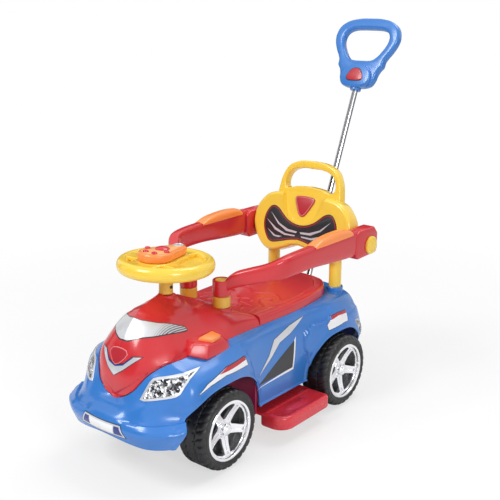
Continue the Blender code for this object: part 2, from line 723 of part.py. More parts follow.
hinge_y = SEAT_REAR_Y - COVER_GAP - COVER_WALL - HINGE_RADIUS - HINGE_INSET
hinge_z = COVER_Z + 0.001
lid_rear_y = SEAT_REAR_Y - COVER_GAP
half_hinge = HINGE_LENGTH / 2
skirt_notch = box("notch", -half_hinge - .004, half_hinge + .004, lid_rear_y - .012, lid_rear_y + .01,
                  COVER_Z - .02, hinge_z + .0005)
cut(seat_lid, skirt_notch)
lid_ears = []
body_lugs = []
for sign in (1, -1):
    ear_x = sorted((sign * (half_hinge - .016), sign * (half_hinge - .010)))
    lid_ears.append(box("ear", *ear_x, hinge_y - .0035, lid_rear_y - COVER_WALL, hinge_z - .0035,
                        COVER_Z + SEAT_RISE - COVER_WALL / 2))
    lug_x = sorted((sign * (half_hinge - .008), sign * (half_hinge - .002)))
    body_lugs.append(box("lug", *lug_x, hinge_y - .005, hinge_y + .001, COVER_Z - GROOVE_DEPTH - .002, hinge_z + .0035))
hinge_hole = moved(turned_x(rod("hole", HINGE_RADIUS + REST_GAP, -half_hinge, half_hinge, 12)),
                   Matrix.Translation((0, hinge_y, hinge_z)))
fuse(seat_lid, *lid_ears)
cut(seat_lid, hinge_hole)
lug_hole = moved(turned_x(rod("hole", HINGE_RADIUS + RUN_GAP, -half_hinge, half_hinge, 12)),
                 Matrix.Translation((0, hinge_y, hinge_z)))
fuse(body_shell, *body_lugs)
cut(body_shell, lug_hole)
seat_hinge = frame("seat_hinge", root, (0, hinge_y, hinge_z))
world_piece(seat_lid, seat_hinge)
put(turned_x(rod("seat_hinge_rod", HINGE_RADIUS, -half_hinge + .001, half_hinge - .001, 12, STEEL)), seat_hinge)


# chassis tub, bulkhead, tongue and bearings
def offset_outline(points, distance):
    """Move a closed outline outwards by a distance; it runs anticlockwise."""
    moved_points = []
    count = len(points)
    for k in range(count):
        before, here, after = (Vector(points[(k + d) % count]) for d in (-1, 0, 1))
        a, b = (here - before).normalized(), (after - here).normalized()
        normal_a, normal_b = Vector((a.y, -a.x)), Vector((b.y, -b.x))
        mitre = (normal_a + normal_b).normalized()
        moved_points.append(tuple(here + mitre * (distance / max(mitre.dot(normal_a), 0.3))))
    return moved_points


tub_front_y = BULKHEAD_Y + BULKHEAD_THICK / 2
tub_top_z = COVER_Z - GROOVE_DEPTH - BODY_WALL - REST_GAP
rear_floor_z = AXLE_Z + TUB_REAR_FLOOR_RISE
step_y = WHEELBASE - TUB_STEP_BACK
tub_rear_y = aft(.039)
tub_half = [(TUB_HALF_WIDTH, tub_front_y), (TUB_HALF_WIDTH, aft(-.003)), (.062, tub_rear_y - .006), (.022, tub_rear_y)]
tub_outline = tub_half + [(-x, y) for x, y in reversed(tub_half)]
chassis = prism("chassis_frame", tub_outline, rear_floor_z, tub_top_z, CRIMSON)
front_tub = box("front", -TUB_HALF_WIDTH, TUB_HALF_WIDTH, tub_front_y, step_y + TUB_WALL, TUB_FLOOR_Z,
                rear_floor_z + TUB_WALL)
flange = prism("flange", offset_outline(tub_outline, .008), tub_top_z - TUB_WALL, tub_top_z)
bulkhead = box("bulkhead", -BULKHEAD_HALF_WIDTH, BULKHEAD_HALF_WIDTH, BULKHEAD_Y, BULKHEAD_Y + BULKHEAD_THICK,
               TUB_FLOOR_Z, BULKHEAD_TOP_Z)
brackets = []
for sign in (1, -1):
    span = sorted((sign * (AXLE_BRACKET_X - AXLE_BRACKET_WIDE / 2), sign * (AXLE_BRACKET_X + AXLE_BRACKET_WIDE / 2)))
    brackets.append(box("bracket", *span, WHEELBASE - AXLE_BRACKET_LONG / 2, WHEELBASE + AXLE_BRACKET_LONG / 2,
                        AXLE_Z - AXLE_BRACKET_LONG / 2, rear_floor_z + TUB_WALL + .010))
fuse(chassis, front_tub, flange, bulkhead, *brackets)
tub_inner = prism("inner", offset_outline(tub_outline, -TUB_WALL), rear_floor_z + TUB_WALL, tub_top_z + .01)
front_inner = box("front inner", -TUB_HALF_WIDTH + TUB_WALL, TUB_HALF_WIDTH - TUB_WALL,
                  BULKHEAD_Y + BULKHEAD_THICK, step_y, TUB_FLOOR_Z + TUB_WALL, rear_floor_z + TUB_WALL + .005)
axle_hole = moved(turned_x(rod("hole", AXLE_RADIUS + REST_GAP, -.2, .2, 12)),
                  Matrix.Translation((0, WHEELBASE, AXLE_Z)))
cut(chassis, tub_inner, front_inner, axle_hole)

tongue_bottom_z = TONGUE_TOP_Z - TONGUE_HEIGHT
tongue = box("tongue", -TONGUE_HALF_WIDTH, TONGUE_HALF_WIDTH, TONGUE_FRONT_Y, BULKHEAD_Y + BULKHEAD_THICK / 2,
             tongue_bottom_z, TONGUE_TOP_Z)
tongue_hollow = box("hollow", -TONGUE_HALF_WIDTH + TONGUE_WALL, TONGUE_HALF_WIDTH - TONGUE_WALL,
                    TONGUE_FRONT_Y + TONGUE_WALL, BULKHEAD_Y, tongue_bottom_z - .01, TONGUE_TOP_Z - TONGUE_WALL)
cut(tongue, tongue_hollow)
bearing_low = (tongue_bottom_z - STEERING_WHEEL_Z) / cos(CASTER)
bearing_high = (BEARING_TOP_Z - STEERING_WHEEL_Z) / cos(CASTER)
bearing = moved(rod("bearing", BEARING_RADIUS, bearing_low, bearing_high, 16), COLUMN_MATRIX)
bearing_bore = moved(rod("bore", SHAFT_BORE, bearing_low - .02, bearing_high + .01, 12), COLUMN_MATRIX)


def kingpin_matrix(sign):
    return Matrix.Translation((sign * KINGPIN_X, 0, AXLE_Z)) @ Matrix.Rotation(-CASTER, 4, "X")


kingpin_parts = []
kingpin_bores = []
for sign in (1, -1):
    span = sorted((sign * (TONGUE_HALF_WIDTH - TONGUE_WALL / 2), sign * KINGPIN_X))
    kingpin_parts.append(box("arm", *span, -.009, .009, tongue_bottom_z + .001, TONGUE_TOP_Z - .003))
    kingpin_parts.append(moved(rod("boss", KINGPIN_BOSS_RADIUS, KINGPIN_BOSS_BOTTOM, KINGPIN_BOSS_TOP, 16),
                               kingpin_matrix(sign)))
    kingpin_bores.append(moved(rod("bore", KINGPIN_RADIUS + RUN_GAP, 0, KINGPIN_BOSS_TOP + .01, 12),
                               kingpin_matrix(sign)))
fuse(chassis, tongue, bearing, *kingpin_parts)
cut(chassis, bearing_bore, *kingpin_bores)
put(chassis, root)

# wheels
tyre_half = TYRE_WIDTH / 2
tyre_flat = 1 / cos(pi / TYRE_SEGMENTS)
barrel_bore = RIM_BARREL_RADIUS * tyre_flat + REST_GAP
lip_seat = RIM_LIP_RADIUS * tyre_flat + REST_GAP
TYRE_PROFILE = [
    (barrel_bore, tyre_half - .0030), (lip_seat, tyre_half - .0030),
    (lip_seat, tyre_half), (TYRE_SIDE_RADIUS, tyre_half), (TYRE_RADIUS * tyre_flat, tyre_half - .008),
    (TYRE_RADIUS * tyre_flat, -tyre_half + .008), (TYRE_SIDE_RADIUS, -tyre_half), (barrel_bore, -tyre_half)]
lip_out = tyre_half + .0005
barrel_inside = RIM_BARREL_RADIUS - RIM_WALL
disc_hub = HUB_FRONT - .002
disc_rim = disc_hub + SPOKE_DISH
hub_back = -tyre_half + .002
RIM_PROFILE = [
    (AXLE_BORE, hub_back), (AXLE_BORE, HUB_FRONT), (HUB_RADIUS, HUB_FRONT), (HUB_RADIUS, disc_hub),
    (barrel_inside, disc_rim), (barrel_inside, lip_out), (RIM_LIP_RADIUS, lip_out),
    (RIM_LIP_RADIUS, tyre_half - .0030 + REST_GAP), (RIM_BARREL_RADIUS, tyre_half - .0030 + REST_GAP),
    (RIM_BARREL_RADIUS, -tyre_half + .0015), (barrel_inside, -tyre_half + .0015),
    (barrel_inside, disc_rim - SPOKE_THICK), (HUB_RADIUS, disc_hub - SPOKE_THICK), (HUB_RADIUS, hub_back)]


def spoke_window(index, angle, inner, outer):
    """The opening between two straight spokes."""
    outline = []
    steps = 2
    half = pi / SPOKES
    for radius, order in ((inner, range(steps + 1)), (outer, range(steps, -1, -1))):
        free = half - asin(SPOKE_WIDTH / 2 / radius)
        for k in order:
            a = angle + free * (2 * k / steps - 1)
            outline.append((radius * cos(a), radius * sin(a)))
    return prism("window %d" % index, outline, disc_hub - SPOKE_THICK - .004, disc_rim + .004)


rim_master = turned("rim master", RIM_PROFILE, RIM_SEGMENTS, CHROME, closed=True)
windows = [spoke_window(k, 2 * pi * (k + 0.5) / SPOKES, HUB_RADIUS + .008, barrel_inside - .003)
           for k in range(SPOKES)]
cut(rim_master, *windows)
tyre_master = turned("tyre master", TYRE_PROFILE, TYRE_SEGMENTS, TYRE, phase=pi / TYRE_SEGMENTS, closed=True)
nut_low = HUB_FRONT + RUN_GAP
nut_high = nut_low + NUT_THICK
cap_low = HUB_FRONT + REST_GAP
cap_top = cap_low + HUB_CAP_DEPTH
cap_master = turned("cap master", [
    (0, cap_top), (HUB_CAP_RADIUS * .75, cap_top - .0004), (HUB_CAP_RADIUS, cap_top - .003),
    (HUB_CAP_RADIUS, cap_low), (HUB_CAP_RADIUS - HUB_CAP_WALL, cap_low),
    (HUB_CAP_RADIUS - HUB_CAP_WALL, cap_top - .0035), (0, cap_top - HUB_CAP_WALL - .0006)], 12, CHROME)
nut_master = tube("nut master", NUT_RADIUS, AXLE_RADIUS + REST_GAP, nut_low, nut_high, 12, STEEL)
axle_end = nut_high + .0015
outward = {1: Matrix.Rotation(pi / 2, 4, "Y"), -1: Matrix.Rotation(-pi / 2, 4, "Y")}


def wheel_copy(master, name, sign, parent):
    obj = bpy.data.objects.new(name, master.data.copy())
    bpy.context.scene.collection.objects.link(obj)
    moved(obj, outward[sign])
    return put(obj, parent)


def wheel(place, sign, hub):
    wheel_copy(tyre_master, place + "_tyre", sign, hub)
    wheel_copy(rim_master, place + "_rim", sign, hub)
    wheel_copy(cap_master, place + "_hub_cap", sign, hub)


for sign, word in ((1, "left"), (-1, "right")):
    hub = frame("rear_" + word + "_wheel_axis", root, (sign * REAR_TRACK_X, WHEELBASE, AXLE_Z))
    wheel("rear_" + word, sign, hub)
    nut = wheel_copy(nut_master, "rear_" + word + "_axle_nut", sign, root)
    nut.location = hub.location
rear_half_axle = REAR_TRACK_X + axle_end
put(moved(turned_x(rod("rear_axle_rod", AXLE_RADIUS, -rear_half_axle, rear_half_axle, 12, STEEL)),
          Matrix.Translation((0, WHEELBASE, AXLE_Z))), root)

# steering: knuckles, crank, tie plate
steering_axis = frame("steering_axis", root, (0, STEERING_WHEEL_Y, STEERING_WHEEL_Z), -CASTER)
caster_up = Vector((0, sin(CASTER), cos(CASTER)))
caster_back = Vector((0, cos(CASTER), -sin(CASTER)))
wheel_to_kingpin = Vector((0, -STEERING_WHEEL_Y, AXLE_Z - STEERING_WHEEL_Z))
crank_level = wheel_to_kingpin.dot(caster_up) - CRANK_DROP
link_offset = wheel_to_kingpin.dot(caster_back)
half_crank = CRANK_THICK / 2
pin_low = -half_crank - LINK_PIN_LENGTH

for sign, word in ((1, "left"), (-1, "right")):
    axis = frame("kingpin_" + word, root, (sign * KINGPIN_X, 0, AXLE_Z), -CASTER)
    knuckle = rod("knuckle_" + word, KINGPIN_RADIUS, -CRANK_DROP - half_crank - .001, KINGPIN_BOSS_TOP + .0045, 14, STEEL)
    collar = rod("collar", KINGPIN_RADIUS + .005, KINGPIN_BOSS_BOTTOM - .0045, KINGPIN_BOSS_BOTTOM - RUN_GAP, 16)
    lever = box("lever", -CRANK_WIDE / 2, CRANK_WIDE / 2, -CRANK_WIDE / 2, CRANK_LENGTH + CRANK_WIDE / 2,
                -CRANK_DROP - half_crank, -CRANK_DROP + half_crank)
    pin = moved(rod("pin", LINK_PIN_RADIUS, pin_low, 0, 10), Matrix.Translation((0, CRANK_LENGTH, -CRANK_DROP)))
    reach = FRONT_TRACK_X - KINGPIN_X
    stub = moved(rod("stub", AXLE_RADIUS, .006, reach + axle_end, 12), outward[sign])
    shoulder = moved(rod("shoulder", STUB_SHOULDER_RADIUS, -.001, reach + hub_back - SHIFT_GAP, 12), outward[sign])
    fuse(knuckle, collar, lever, pin, stub, shoulder)
    put(knuckle, axis)
    nut = wheel_copy(nut_master, "front_" + word + "_axle_nut", sign, axis)
    nut.location = (sign * reach, 0, 0)
    hub = frame("front_" + word + "_wheel_axis", axis, (sign * reach, 0, 0), CASTER)
    wheel("front_" + word, sign, hub)

for master in (rim_master, tyre_master, cap_master, nut_master):
    bpy.data.objects.remove(master, do_unlink=True)

shaft_top = .004
shaft = rod("steering_shaft", SHAFT_RADIUS, crank_level - half_crank, shaft_top, 12, STEEL)
crank = box("crank", -CRANK_WIDE / 2, CRANK_WIDE / 2, -CRANK_WIDE / 2 - .001, CRANK_LENGTH + CRANK_WIDE / 2,
            crank_level - half_crank, crank_level + half_crank)
crank_pin = moved(rod("pin", LINK_PIN_RADIUS, pin_low, 0, 10), Matrix.Translation((0, CRANK_LENGTH, crank_level)))
fuse(shaft, crank, crank_pin)
put(shaft, steering_axis)

tie_axis = frame("tie_plate_axis", steering_axis, (0, CRANK_LENGTH, crank_level))
plate_top = -half_crank - .0012
plate_low = plate_top - TIE_PLATE_THICK
half_tie = TIE_PLATE_WIDE / 2
tie_plate = box("tie_plate", -KINGPIN_X, KINGPIN_X, link_offset - half_tie, link_offset + half_tie, plate_low,
                plate_top, STEEL)
stem = box("stem", -half_tie, half_tie, 0, link_offset, plate_low, plate_top)
link_places = ((0, 0), (KINGPIN_X, link_offset), (-KINGPIN_X, link_offset))
link_eyes = [moved(rod("eye", half_tie, plate_low, plate_top, 12), Matrix.Translation((x, y, 0)))
             for x, y in link_places]
link_holes = [moved(rod("hole", LINK_PIN_RADIUS + SHIFT_GAP, plate_low - .01, plate_top + .01, 10),
                    Matrix.Translation((x, y, 0))) for x, y in link_places]
fuse(tie_plate, stem, *link_eyes)
cut(tie_plate, *link_holes)
put(tie_plate, tie_axis)

# steering wheel, sleeve and console
ring_profile = []
for k in range(8):
    a = 2 * pi * (k + .5) / 8
    ring_profile.append((STEERING_RING_RADIUS + STEERING_RING_WIDE / 2 * cos(a) / cos(pi / 8),
                         STEERING_RING_TALL / 2 * sin(a) / cos(pi / 8)))
steering_wheel = turned("steering_wheel", ring_profile, 28, YELLOW, closed=True)


def console_outline(extra, steps=5):
    """A large round front and a smaller round rear joined by straight flanks."""
    run = CONSOLE_REAR_Y - CONSOLE_FRONT_Y
    lean = asin((CONSOLE_FRONT_RADIUS - CONSOLE_REAR_RADIUS) / run)
    outline = []
    for k in range(2 * steps + 1):
        a = -pi - lean + (pi + 2 * lean) * k / (2 * steps)
        outline.append(((CONSOLE_FRONT_RADIUS + extra) * cos(a), CONSOLE_FRONT_Y + (CONSOLE_FRONT_RADIUS + extra) * sin(a)))
    for k in range(steps + 1):
        a = lean + (pi - 2 * lean) * k / steps
        outline.append(((CONSOLE_REAR_RADIUS + extra) * cos(a), CONSOLE_REAR_Y + (CONSOLE_REAR_RADIUS + extra) * sin(a)))
    return outline


dish_top = CONSOLE_BOTTOM - REST_GAP
dish_low = dish_top - STEERING_DISH_THICK
dish = prism("dish", console_outline(.003), dish_low, dish_top)
spoke_reach = STEERING_RING_RADIUS
spokes = [
    box("front", -.028, .028, -spoke_reach, CONSOLE_FRONT_Y, dish_low, dish_top),
    box("left", 0, spoke_reach - .006, CONSOLE_FRONT_Y - .014, CONSOLE_FRONT_Y + .014, dish_low, dish_top),
    box("right", -spoke_reach + .006, 0, CONSOLE_FRONT_Y - .014, CONSOLE_FRONT_Y + .014, dish_low, dish_top),
    box("rear", -.012, .012, CONSOLE_REAR_Y, spoke_reach, dish_low, dish_top)]
hub_low = -.0125
hub = rod("hub", STEERING_HUB_RADIUS, hub_low, dish_low + .002, 16)
fuse(steering_wheel, dish, hub, *spokes)
cut(steering_wheel, rod("bore", SHAFT_RADIUS + REST_GAP, hub_low - .01, shaft_top + REST_GAP, 12))
put(steering_wheel, steering_axis)

sleeve_high = hub_low - REST_GAP
sleeve = tube("column_sleeve", SLEEVE_RADIUS, SLEEVE_RADIUS - SLEEVE_WALL, sleeve_low, sleeve_high, 20, YELLOW)
screw_level = sleeve_low + .014
cut(sleeve, moved(turned_x(rod("hole", .0018, SLEEVE_RADIUS - SLEEVE_WALL - .002, SLEEVE_RADIUS + .002, 8)),
                  Matrix.Translation((0, 0, screw_level))))
put(sleeve, steering_axis)
screw = turned("column_screw", [(0, SHAFT_RADIUS + REST_GAP), (.0015, SHAFT_RADIUS + REST_GAP),
                                (.0015, SLEEVE_RADIUS + REST_GAP), (.003, SLEEVE_RADIUS + REST_GAP),
                                (.003, SLEEVE_RADIUS + .002), (0, SLEEVE_RADIUS + .002)], 8, BLACK)
put(moved(turned_x(screw), Matrix.Translation((0, 0, screw_level))), steering_axis)

console_top = CONSOLE_BOTTOM + CONSOLE_HEIGHT
console_ceiling = console_top - CONSOLE_WALL
console = prism("sound_console", console_outline(0), CONSOLE_BOTTOM, console_top, ORANGE)
button_list = [("horn_button", 0.0, HORN_Y, HORN_RADIUS, HORN_RISE)]
for k, (x, y) in enumerate(MELODY_PLACES):
    button_list.append(("melody_button_%d" % (k + 1), x, y, MELODY_RADIUS, MELODY_RISE))
cutters = [prism("hollow", console_outline(-CONSOLE_WALL), CONSOLE_BOTTOM - .01, console_ceiling)]
for name, x, y, radius, rise in button_list:
    cutters.append(moved(rod("hole", radius + RUN_GAP, CONSOLE_BOTTOM, console_top + .01, 16),
                         Matrix.Translation((x, y, 0))))
cut(console, *cutters)
put(console, steering_axis)
for name, x, y, radius, rise in button_list:
    low = console_ceiling - REST_GAP - .0015
    high = console_top + rise - console_ceiling
    flange_radius = radius + .0012
    profile = [(0, 0), (flange_radius, 0), (flange_radius, .0015), (radius, .0015),
               (radius, high + .0015 - .0015), (radius - .0015, high + .0015), (0, high + .0022)]
    spot = frame(name + "_axis", steering_axis, (x, y, low))
    put(turned(name, profile, 16 if radius > MELODY_RADIUS else 10, RED), spot)
put(box("sound_module", -.018, .018, CONSOLE_FRONT_Y - .018, CONSOLE_REAR_Y - .024, CONSOLE_BOTTOM + REST_GAP,
        CONSOLE_BOTTOM + .0065, BLACK), steering_axis)
put(box("battery_cover", -.018, .018, CONSOLE_FRONT_Y - .018, CONSOLE_FRONT_Y + .006, dish_low - REST_GAP - .002,
        dish_low - REST_GAP, YELLOW), steering_axis)
put(moved(rod("speaker_disc", SPEAKER_RADIUS, console_top + REST_GAP, console_top + .0016, 20, SILVER),
          Matrix.Translation((0, CONSOLE_REAR_Y, 0))), steering_axis)


# front posts and guard arms
def arm_beam(name, path, sign, slack, mat=None):
    """A bar with a chamfered oblong section along (x, y, drop from the top, height) points."""
    samples = smooth_open(path, 2)
    half_t = ARM_THICK / 2 + slack
    bm = bmesh.new()
    rings = []
    for k, p in enumerate(samples):
        ahead, behind = samples[min(k + 1, len(samples) - 1)], samples[max(k - 1, 0)]
        run = Vector((ahead[0] - behind[0], ahead[1] - behind[1])).normalized()
        high = ARM_TOP_Z - p[2] + slack
        low = high - p[3] - 2 * slack
        section = ((half_t, low + ARM_CHAMFER), (half_t, high - ARM_CHAMFER), (half_t - ARM_CHAMFER, high),
                   (ARM_CHAMFER - half_t, high), (-half_t, high - ARM_CHAMFER), (-half_t, low + ARM_CHAMFER),
                   (ARM_CHAMFER - half_t, low), (half_t - ARM_CHAMFER, low))
        rings.append([bm.verts.new((sign * (p[0] + run.y * s), p[1] - run.x * s, z)) for s, z in section])
    for first, second in zip(rings, rings[1:]):
        for k in range(8):
            n = (k + 1) % 8
            bm.faces.new((first[k], first[n], second[n], second[k]))
    bm.faces.new(rings[0])
    bm.faces.new(rings[-1])
    return mesh_object(name, bm, mat)


sleeve_top_z = POST_RING_TOP_Z + .034
block_front_y = ARM_PIVOT_Y - ARM_BLOCK_FRONT
block_rear_y = ARM_PIVOT_Y + ARM_BLOCK_REAR
ARM_PATH = [(POST_X + .004, POST_Y + .002, .058, .026), (.070, .110, .040, .032), (.095, .123, .030, .033),
            (.125, .142, .020, .035), (.145, .165, .009, .042), (ARM_SIDE_X - .002, .198, .004, .044),
            (ARM_SIDE_X, .255, .002, .046), (ARM_SIDE_X, .320, .001, .052),
            (ARM_SIDE_X, ARM_PIVOT_Y - .078, 0, .057), (ARM_SIDE_X, block_front_y + .010, 0, .056)]
post_low = POST_RING_BOTTOM_Z - POST_SPIGOT_LENGTH
for sign, word in ((1, "left"), (-1, "right")):
    at_post = Matrix.Translation((sign * POST_X, POST_Y, 0))
    post = turned("front_post_" + word, [
        (0, post_low), (POST_SPIGOT_RADIUS, post_low), (POST_SPIGOT_RADIUS, POST_RING_BOTTOM_Z),
        (POST_RING_RADIUS, POST_RING_BOTTOM_Z), (POST_RING_RADIUS, POST_RING_TOP_Z),
        (POST_PEG_RADIUS, POST_RING_TOP_Z), (POST_TIP_RADIUS, sleeve_top_z - .001), (0, sleeve_top_z)], 16, YELLOW)
    put(moved(post, at_post), root)

    arm_axis = frame("guard_arm_" + word + "_axis", root, (sign * ARM_BLOCK_INNER_X, ARM_PIVOT_Y, ARM_PIVOT_Z))
    arm = arm_beam("guard_arm_" + word, ARM_PATH, sign, 0, RED)
    sleeve_ring = moved(rod("sleeve", ARM_SLEEVE_RADIUS, POST_RING_TOP_Z + SHIFT_GAP / 2, sleeve_top_z, 16), at_post)
    block_low, block_high = ARM_PIVOT_Z - .024, ARM_TOP_Z - .003
    block_side = [(block_front_y, block_low + .010), (block_front_y + .008, block_low), (block_rear_y - .006, block_low + .002),
                  (block_rear_y, block_low + .012), (block_rear_y, block_high - .016), (block_rear_y - .014, block_high),
                  (block_front_y + .012, block_high), (block_front_y, block_high - .008)]
    block = prism("block", block_side, ARM_BLOCK_INNER_X, ARM_BLOCK_INNER_X + ARM_BLOCK_WIDE)
    moved(block, Matrix(((0, 0, 1, 0), (1, 0, 0, 0), (0, 1, 0, 0), (0, 0, 0, 1))))
    if sign < 0:
        mirrored(block)
    fuse(arm, sleeve_ring, block)
    peg_bore = moved(rod("bore", ARM_SLEEVE_RADIUS - ARM_SLEEVE_WALL, POST_RING_TOP_Z - .01, sleeve_top_z + .03, 16),
                     at_post)
    pivot_bore = moved(turned_x(rod("bore", ARM_PIVOT_RADIUS + RUN_GAP, -.2, .2, 16)),
                       Matrix.Translation((0, ARM_PIVOT_Y, ARM_PIVOT_Z)))
    if sign < 0:
        keep = box("keep", .05, .3, 0, 1, 0, 1)
    else:
        keep = box("keep", -.3, -.05, 0, 1, 0, 1)
    cut(pivot_bore, keep)
    cut(arm, peg_bore, pivot_bore)
    world_piece(arm, arm_axis)

    pad_top = ARM_TOP_Z + PAD_RISE
    half_pad = PAD_WIDE / 2
    pad_points = []
    for y, z, narrow in ((PAD_FRONT_Y, ARM_TOP_Z - .012, 0), (PAD_FRONT_Y, ARM_TOP_Z - .001, 0),
                         (PAD_FRONT_Y + .020, pad_top - .003, .003), (PAD_FRONT_Y + PAD_LENGTH * .55, pad_top, .004),
                         (PAD_FRONT_Y + PAD_LENGTH - .012, pad_top - .004, .003),
                         (PAD_FRONT_Y + PAD_LENGTH, ARM_TOP_Z, 0), (PAD_FRONT_Y + PAD_LENGTH, ARM_TOP_Z - .012, 0)):
        pad_points += [(sign * (ARM_SIDE_X + d * (half_pad - narrow)), y, z) for d in (1, -1)]
    pad = hull("arm_pad_" + word, pad_points, ORANGE)
    cut(pad, arm_beam("clear", ARM_PATH, sign, REST_GAP), box("below", -.3, .3, 0, 1, 0, ARM_TOP_Z - .007))
    world_piece(pad, arm_axis)

    cap_face = ARM_BLOCK_WIDE + REST_GAP
    cap = turned("pivot_cap_" + word, [
        (0, cap_face), (ARM_CAP_RADIUS, cap_face), (ARM_CAP_RADIUS, cap_face + ARM_CAP_THICK - .002),
        (ARM_CAP_RADIUS - .003, cap_face + ARM_CAP_THICK), (0, cap_face + ARM_CAP_THICK + .0008)], 20, YELLOW)
    put(moved(cap, outward[sign]), arm_axis)

# backrest
BACK_MATRIX = Matrix.Translation((0, BACKREST_Y, BACKREST_Z)) @ Matrix.Rotation(-BACKREST_LEAN, 4, "X")
BACK_HALF = [(0, .034), (.020, .031), (.036, .024), (.071, .012), (.098, .018), (.120, .040), (.1325, .066),
             (.1332, .086), (.124, .114), (.100, .140), (.086, .148), (0, .153)]
GRIP_HALF = [(.088, .132), (.085, .158), (.079, .188), (.064, .213), (.036, .226), (0, .229)]
OPENING_HALF = [(0, .171), (.034, .168), (.058, .162), (.068, .170), (.065, .190), (.052, .204), (.028, .211), (0, .211)]
PANEL_HALF = [(0, .048), (.024, .044), (.044, .038), (.074, .032), (.090, .044), (.100, .068), (.099, .092),
              (.088, .112), (.076, .117), (.062, .112), (.048, .100), (.034, .090), (.016, .083), (0, .081)]
VALLEY_HALF = [(0, .086), (.016, .089), (.034, .102), (.048, .122), (.058, .150), (.060, .165), (0, .167)]
BADGE_HALF = [(0, -.025), (.008, -.021), (.019, -.003), (.026, .014), (.022, .021), (0, .023)]

backrest = facing_prism("backrest", smooth_half(BACK_HALF, 2), 0, BACKREST_THICK, YELLOW)
grip_front = BACKREST_THICK - BACKREST_GRIP_THICK
grip_arch = smooth_open(GRIP_HALF, 2)
grip_outline = [(p.x, p.y) for p in grip_arch] + [(-p.x, p.y) for p in reversed(grip_arch[:-1])]
grip = facing_prism("grip", grip_outline, grip_front, grip_front + BACKREST_GRIP_THICK)
grip_hole = facing_prism("hole", smooth_half(OPENING_HALF, 1), grip_front - .02, grip_front + BACKREST_GRIP_THICK + .02)
cut(grip, grip_hole)
valley = []
for x, v in smooth_half(VALLEY_HALF, 1):
    depth = BACKREST_VALLEY + (v - VALLEY_HALF[0][1]) * BACKREST_VALLEY_SLOPE
    valley += [(x, -.03, v), (x, depth, v)]
panel_outline = smooth_half(PANEL_HALF, 1)
recess = facing_prism("recess", offset_outline(panel_outline, REST_GAP), -.02, PANEL_SINK + REST_GAP)
fuse(backrest, grip)
cut(backrest, hull("valley", valley), recess)
moved(backrest, BACK_MATRIX)
back_parts = []
for sign in (1, -1):
    back_parts.append(moved(rod("leg", LEG_RADIUS, LEG_BOTTOM_Z, BACKREST_Z + .035, 16),
                            Matrix.Translation((sign * LEG_X, LEG_Y, 0))))
    at_pivot = Matrix.Translation((0, ARM_PIVOT_Y, ARM_PIVOT_Z)) @ outward[sign]
    back_parts.append(moved(rod("ear", EAR_RADIUS, .100, ARM_BLOCK_INNER_X - EAR_GAP, 16), at_pivot))
    back_parts.append(moved(rod("pivot", ARM_PIVOT_RADIUS, .110, ARM_BLOCK_INNER_X + ARM_BLOCK_WIDE - .001, 16), at_pivot))
fuse(backrest, *back_parts)
put(backrest, root)
panel = facing_prism("backrest_panel", panel_outline, PANEL_SINK - PANEL_THICK, PANEL_SINK, BLACK)
put(moved(panel, BACK_MATRIX), root)
badge_depth = BACKREST_VALLEY + (BADGE_LEVEL - VALLEY_HALF[0][1]) * BACKREST_VALLEY_SLOPE
badge = facing_prism("backrest_badge", smooth_half(BADGE_HALF, 2), -REST_GAP - BADGE_THICK, -REST_GAP, RED)
moved(badge, Matrix.Translation((0, badge_depth, BADGE_LEVEL)) @ Matrix.Rotation(-atan(BACKREST_VALLEY_SLOPE), 4, "X"))
put(moved(badge, BACK_MATRIX), root)

# push rod and handle
rod_frame = frame("push_rod_frame", root, (0, ROD_FOOT_Y, ROD_FOOT_Z), -ROD_TILT)
rod_low = .003 - ROD_SOCKET_DEPTH + REST_GAP
rod_high = HANDLE_HEIGHT_ON_ROD + .050
push_rod = rod("push_rod", ROD_RADIUS, rod_low, rod_high, 16, CHROME)
cut(push_rod, moved(turned_x(rod("hole", ROD_BOLT_RADIUS + REST_GAP, -.02, .02, 8)),
                    Matrix.Translation((0, 0, bolt_level))))
put(push_rod, rod_frame)
bolt_head = ROD_SOCKET_RADIUS + REST_GAP
bolt = turned("rod_cross_bolt", [(0, -bolt_head - .002), (ROD_BOLT_RADIUS, -bolt_head - .002), (ROD_BOLT_RADIUS, bolt_head),
                                 (.004, bolt_head), (.004, bolt_head + .002), (0, bolt_head + .002)], 10, STEEL)
put(moved(turned_x(bolt), Matrix.Translation((0, 0, bolt_level))), rod_frame)

HANDLE_HALF = [(0, .020), (.020, .022), (.034, .034), (.040, .050), (.054, .064), (.062, .078), (.060, .092),
               (.070, .108), (.081, .128), (.083, .146), (.075, .167), (.054, .180), (.028, .184), (0, .184)]
LOOP_HALF = [(0, .076), (.028, .077), (.041, .088), (.053, .108), (.061, .128), (.061, .143), (.053, .154),
             (.034, .161), (0, .162)]
half_handle = HANDLE_THICK / 2
handle = facing_prism("push_handle", smooth_half(HANDLE_HALF, 2), -half_handle, half_handle, BLUE)
loop_hole = facing_prism("hole", smooth_half(LOOP_HALF, 2), -.05, .05)
cut(handle, loop_hole)
boss = moved(rod("boss", HANDLE_BOSS_RADIUS, 0, half_handle + HANDLE_BOSS_RISE, 20),
             Matrix.Translation((0, 0, .046)) @ Matrix.Rotation(pi / 2, 4, "X"))
handle_collar = rod("collar", HANDLE_COLLAR_RADIUS, .012, .050, 16)
fuse(handle, boss, handle_collar)
cut(handle, rod("bore", ROD_RADIUS + REST_GAP, -.05, .050 + REST_GAP, 16))
put(handle, rod_frame)
handle.location = (0, 0, HANDLE_HEIGHT_ON_ROD)
badge_face = half_handle + HANDLE_BOSS_RISE + REST_GAP
handle_badge = turned("handle_badge", [(0, badge_face), (HANDLE_BADGE_RADIUS, badge_face),
                                       (HANDLE_BADGE_RADIUS, badge_face + .0012), (0, badge_face + .003)], 20, RED)
put(moved(handle_badge, Matrix.Translation((0, 0, .046)) @ Matrix.Rotation(pi / 2, 4, "X")), rod_frame)
handle_badge.location = (0, 0, HANDLE_HEIGHT_ON_ROD)


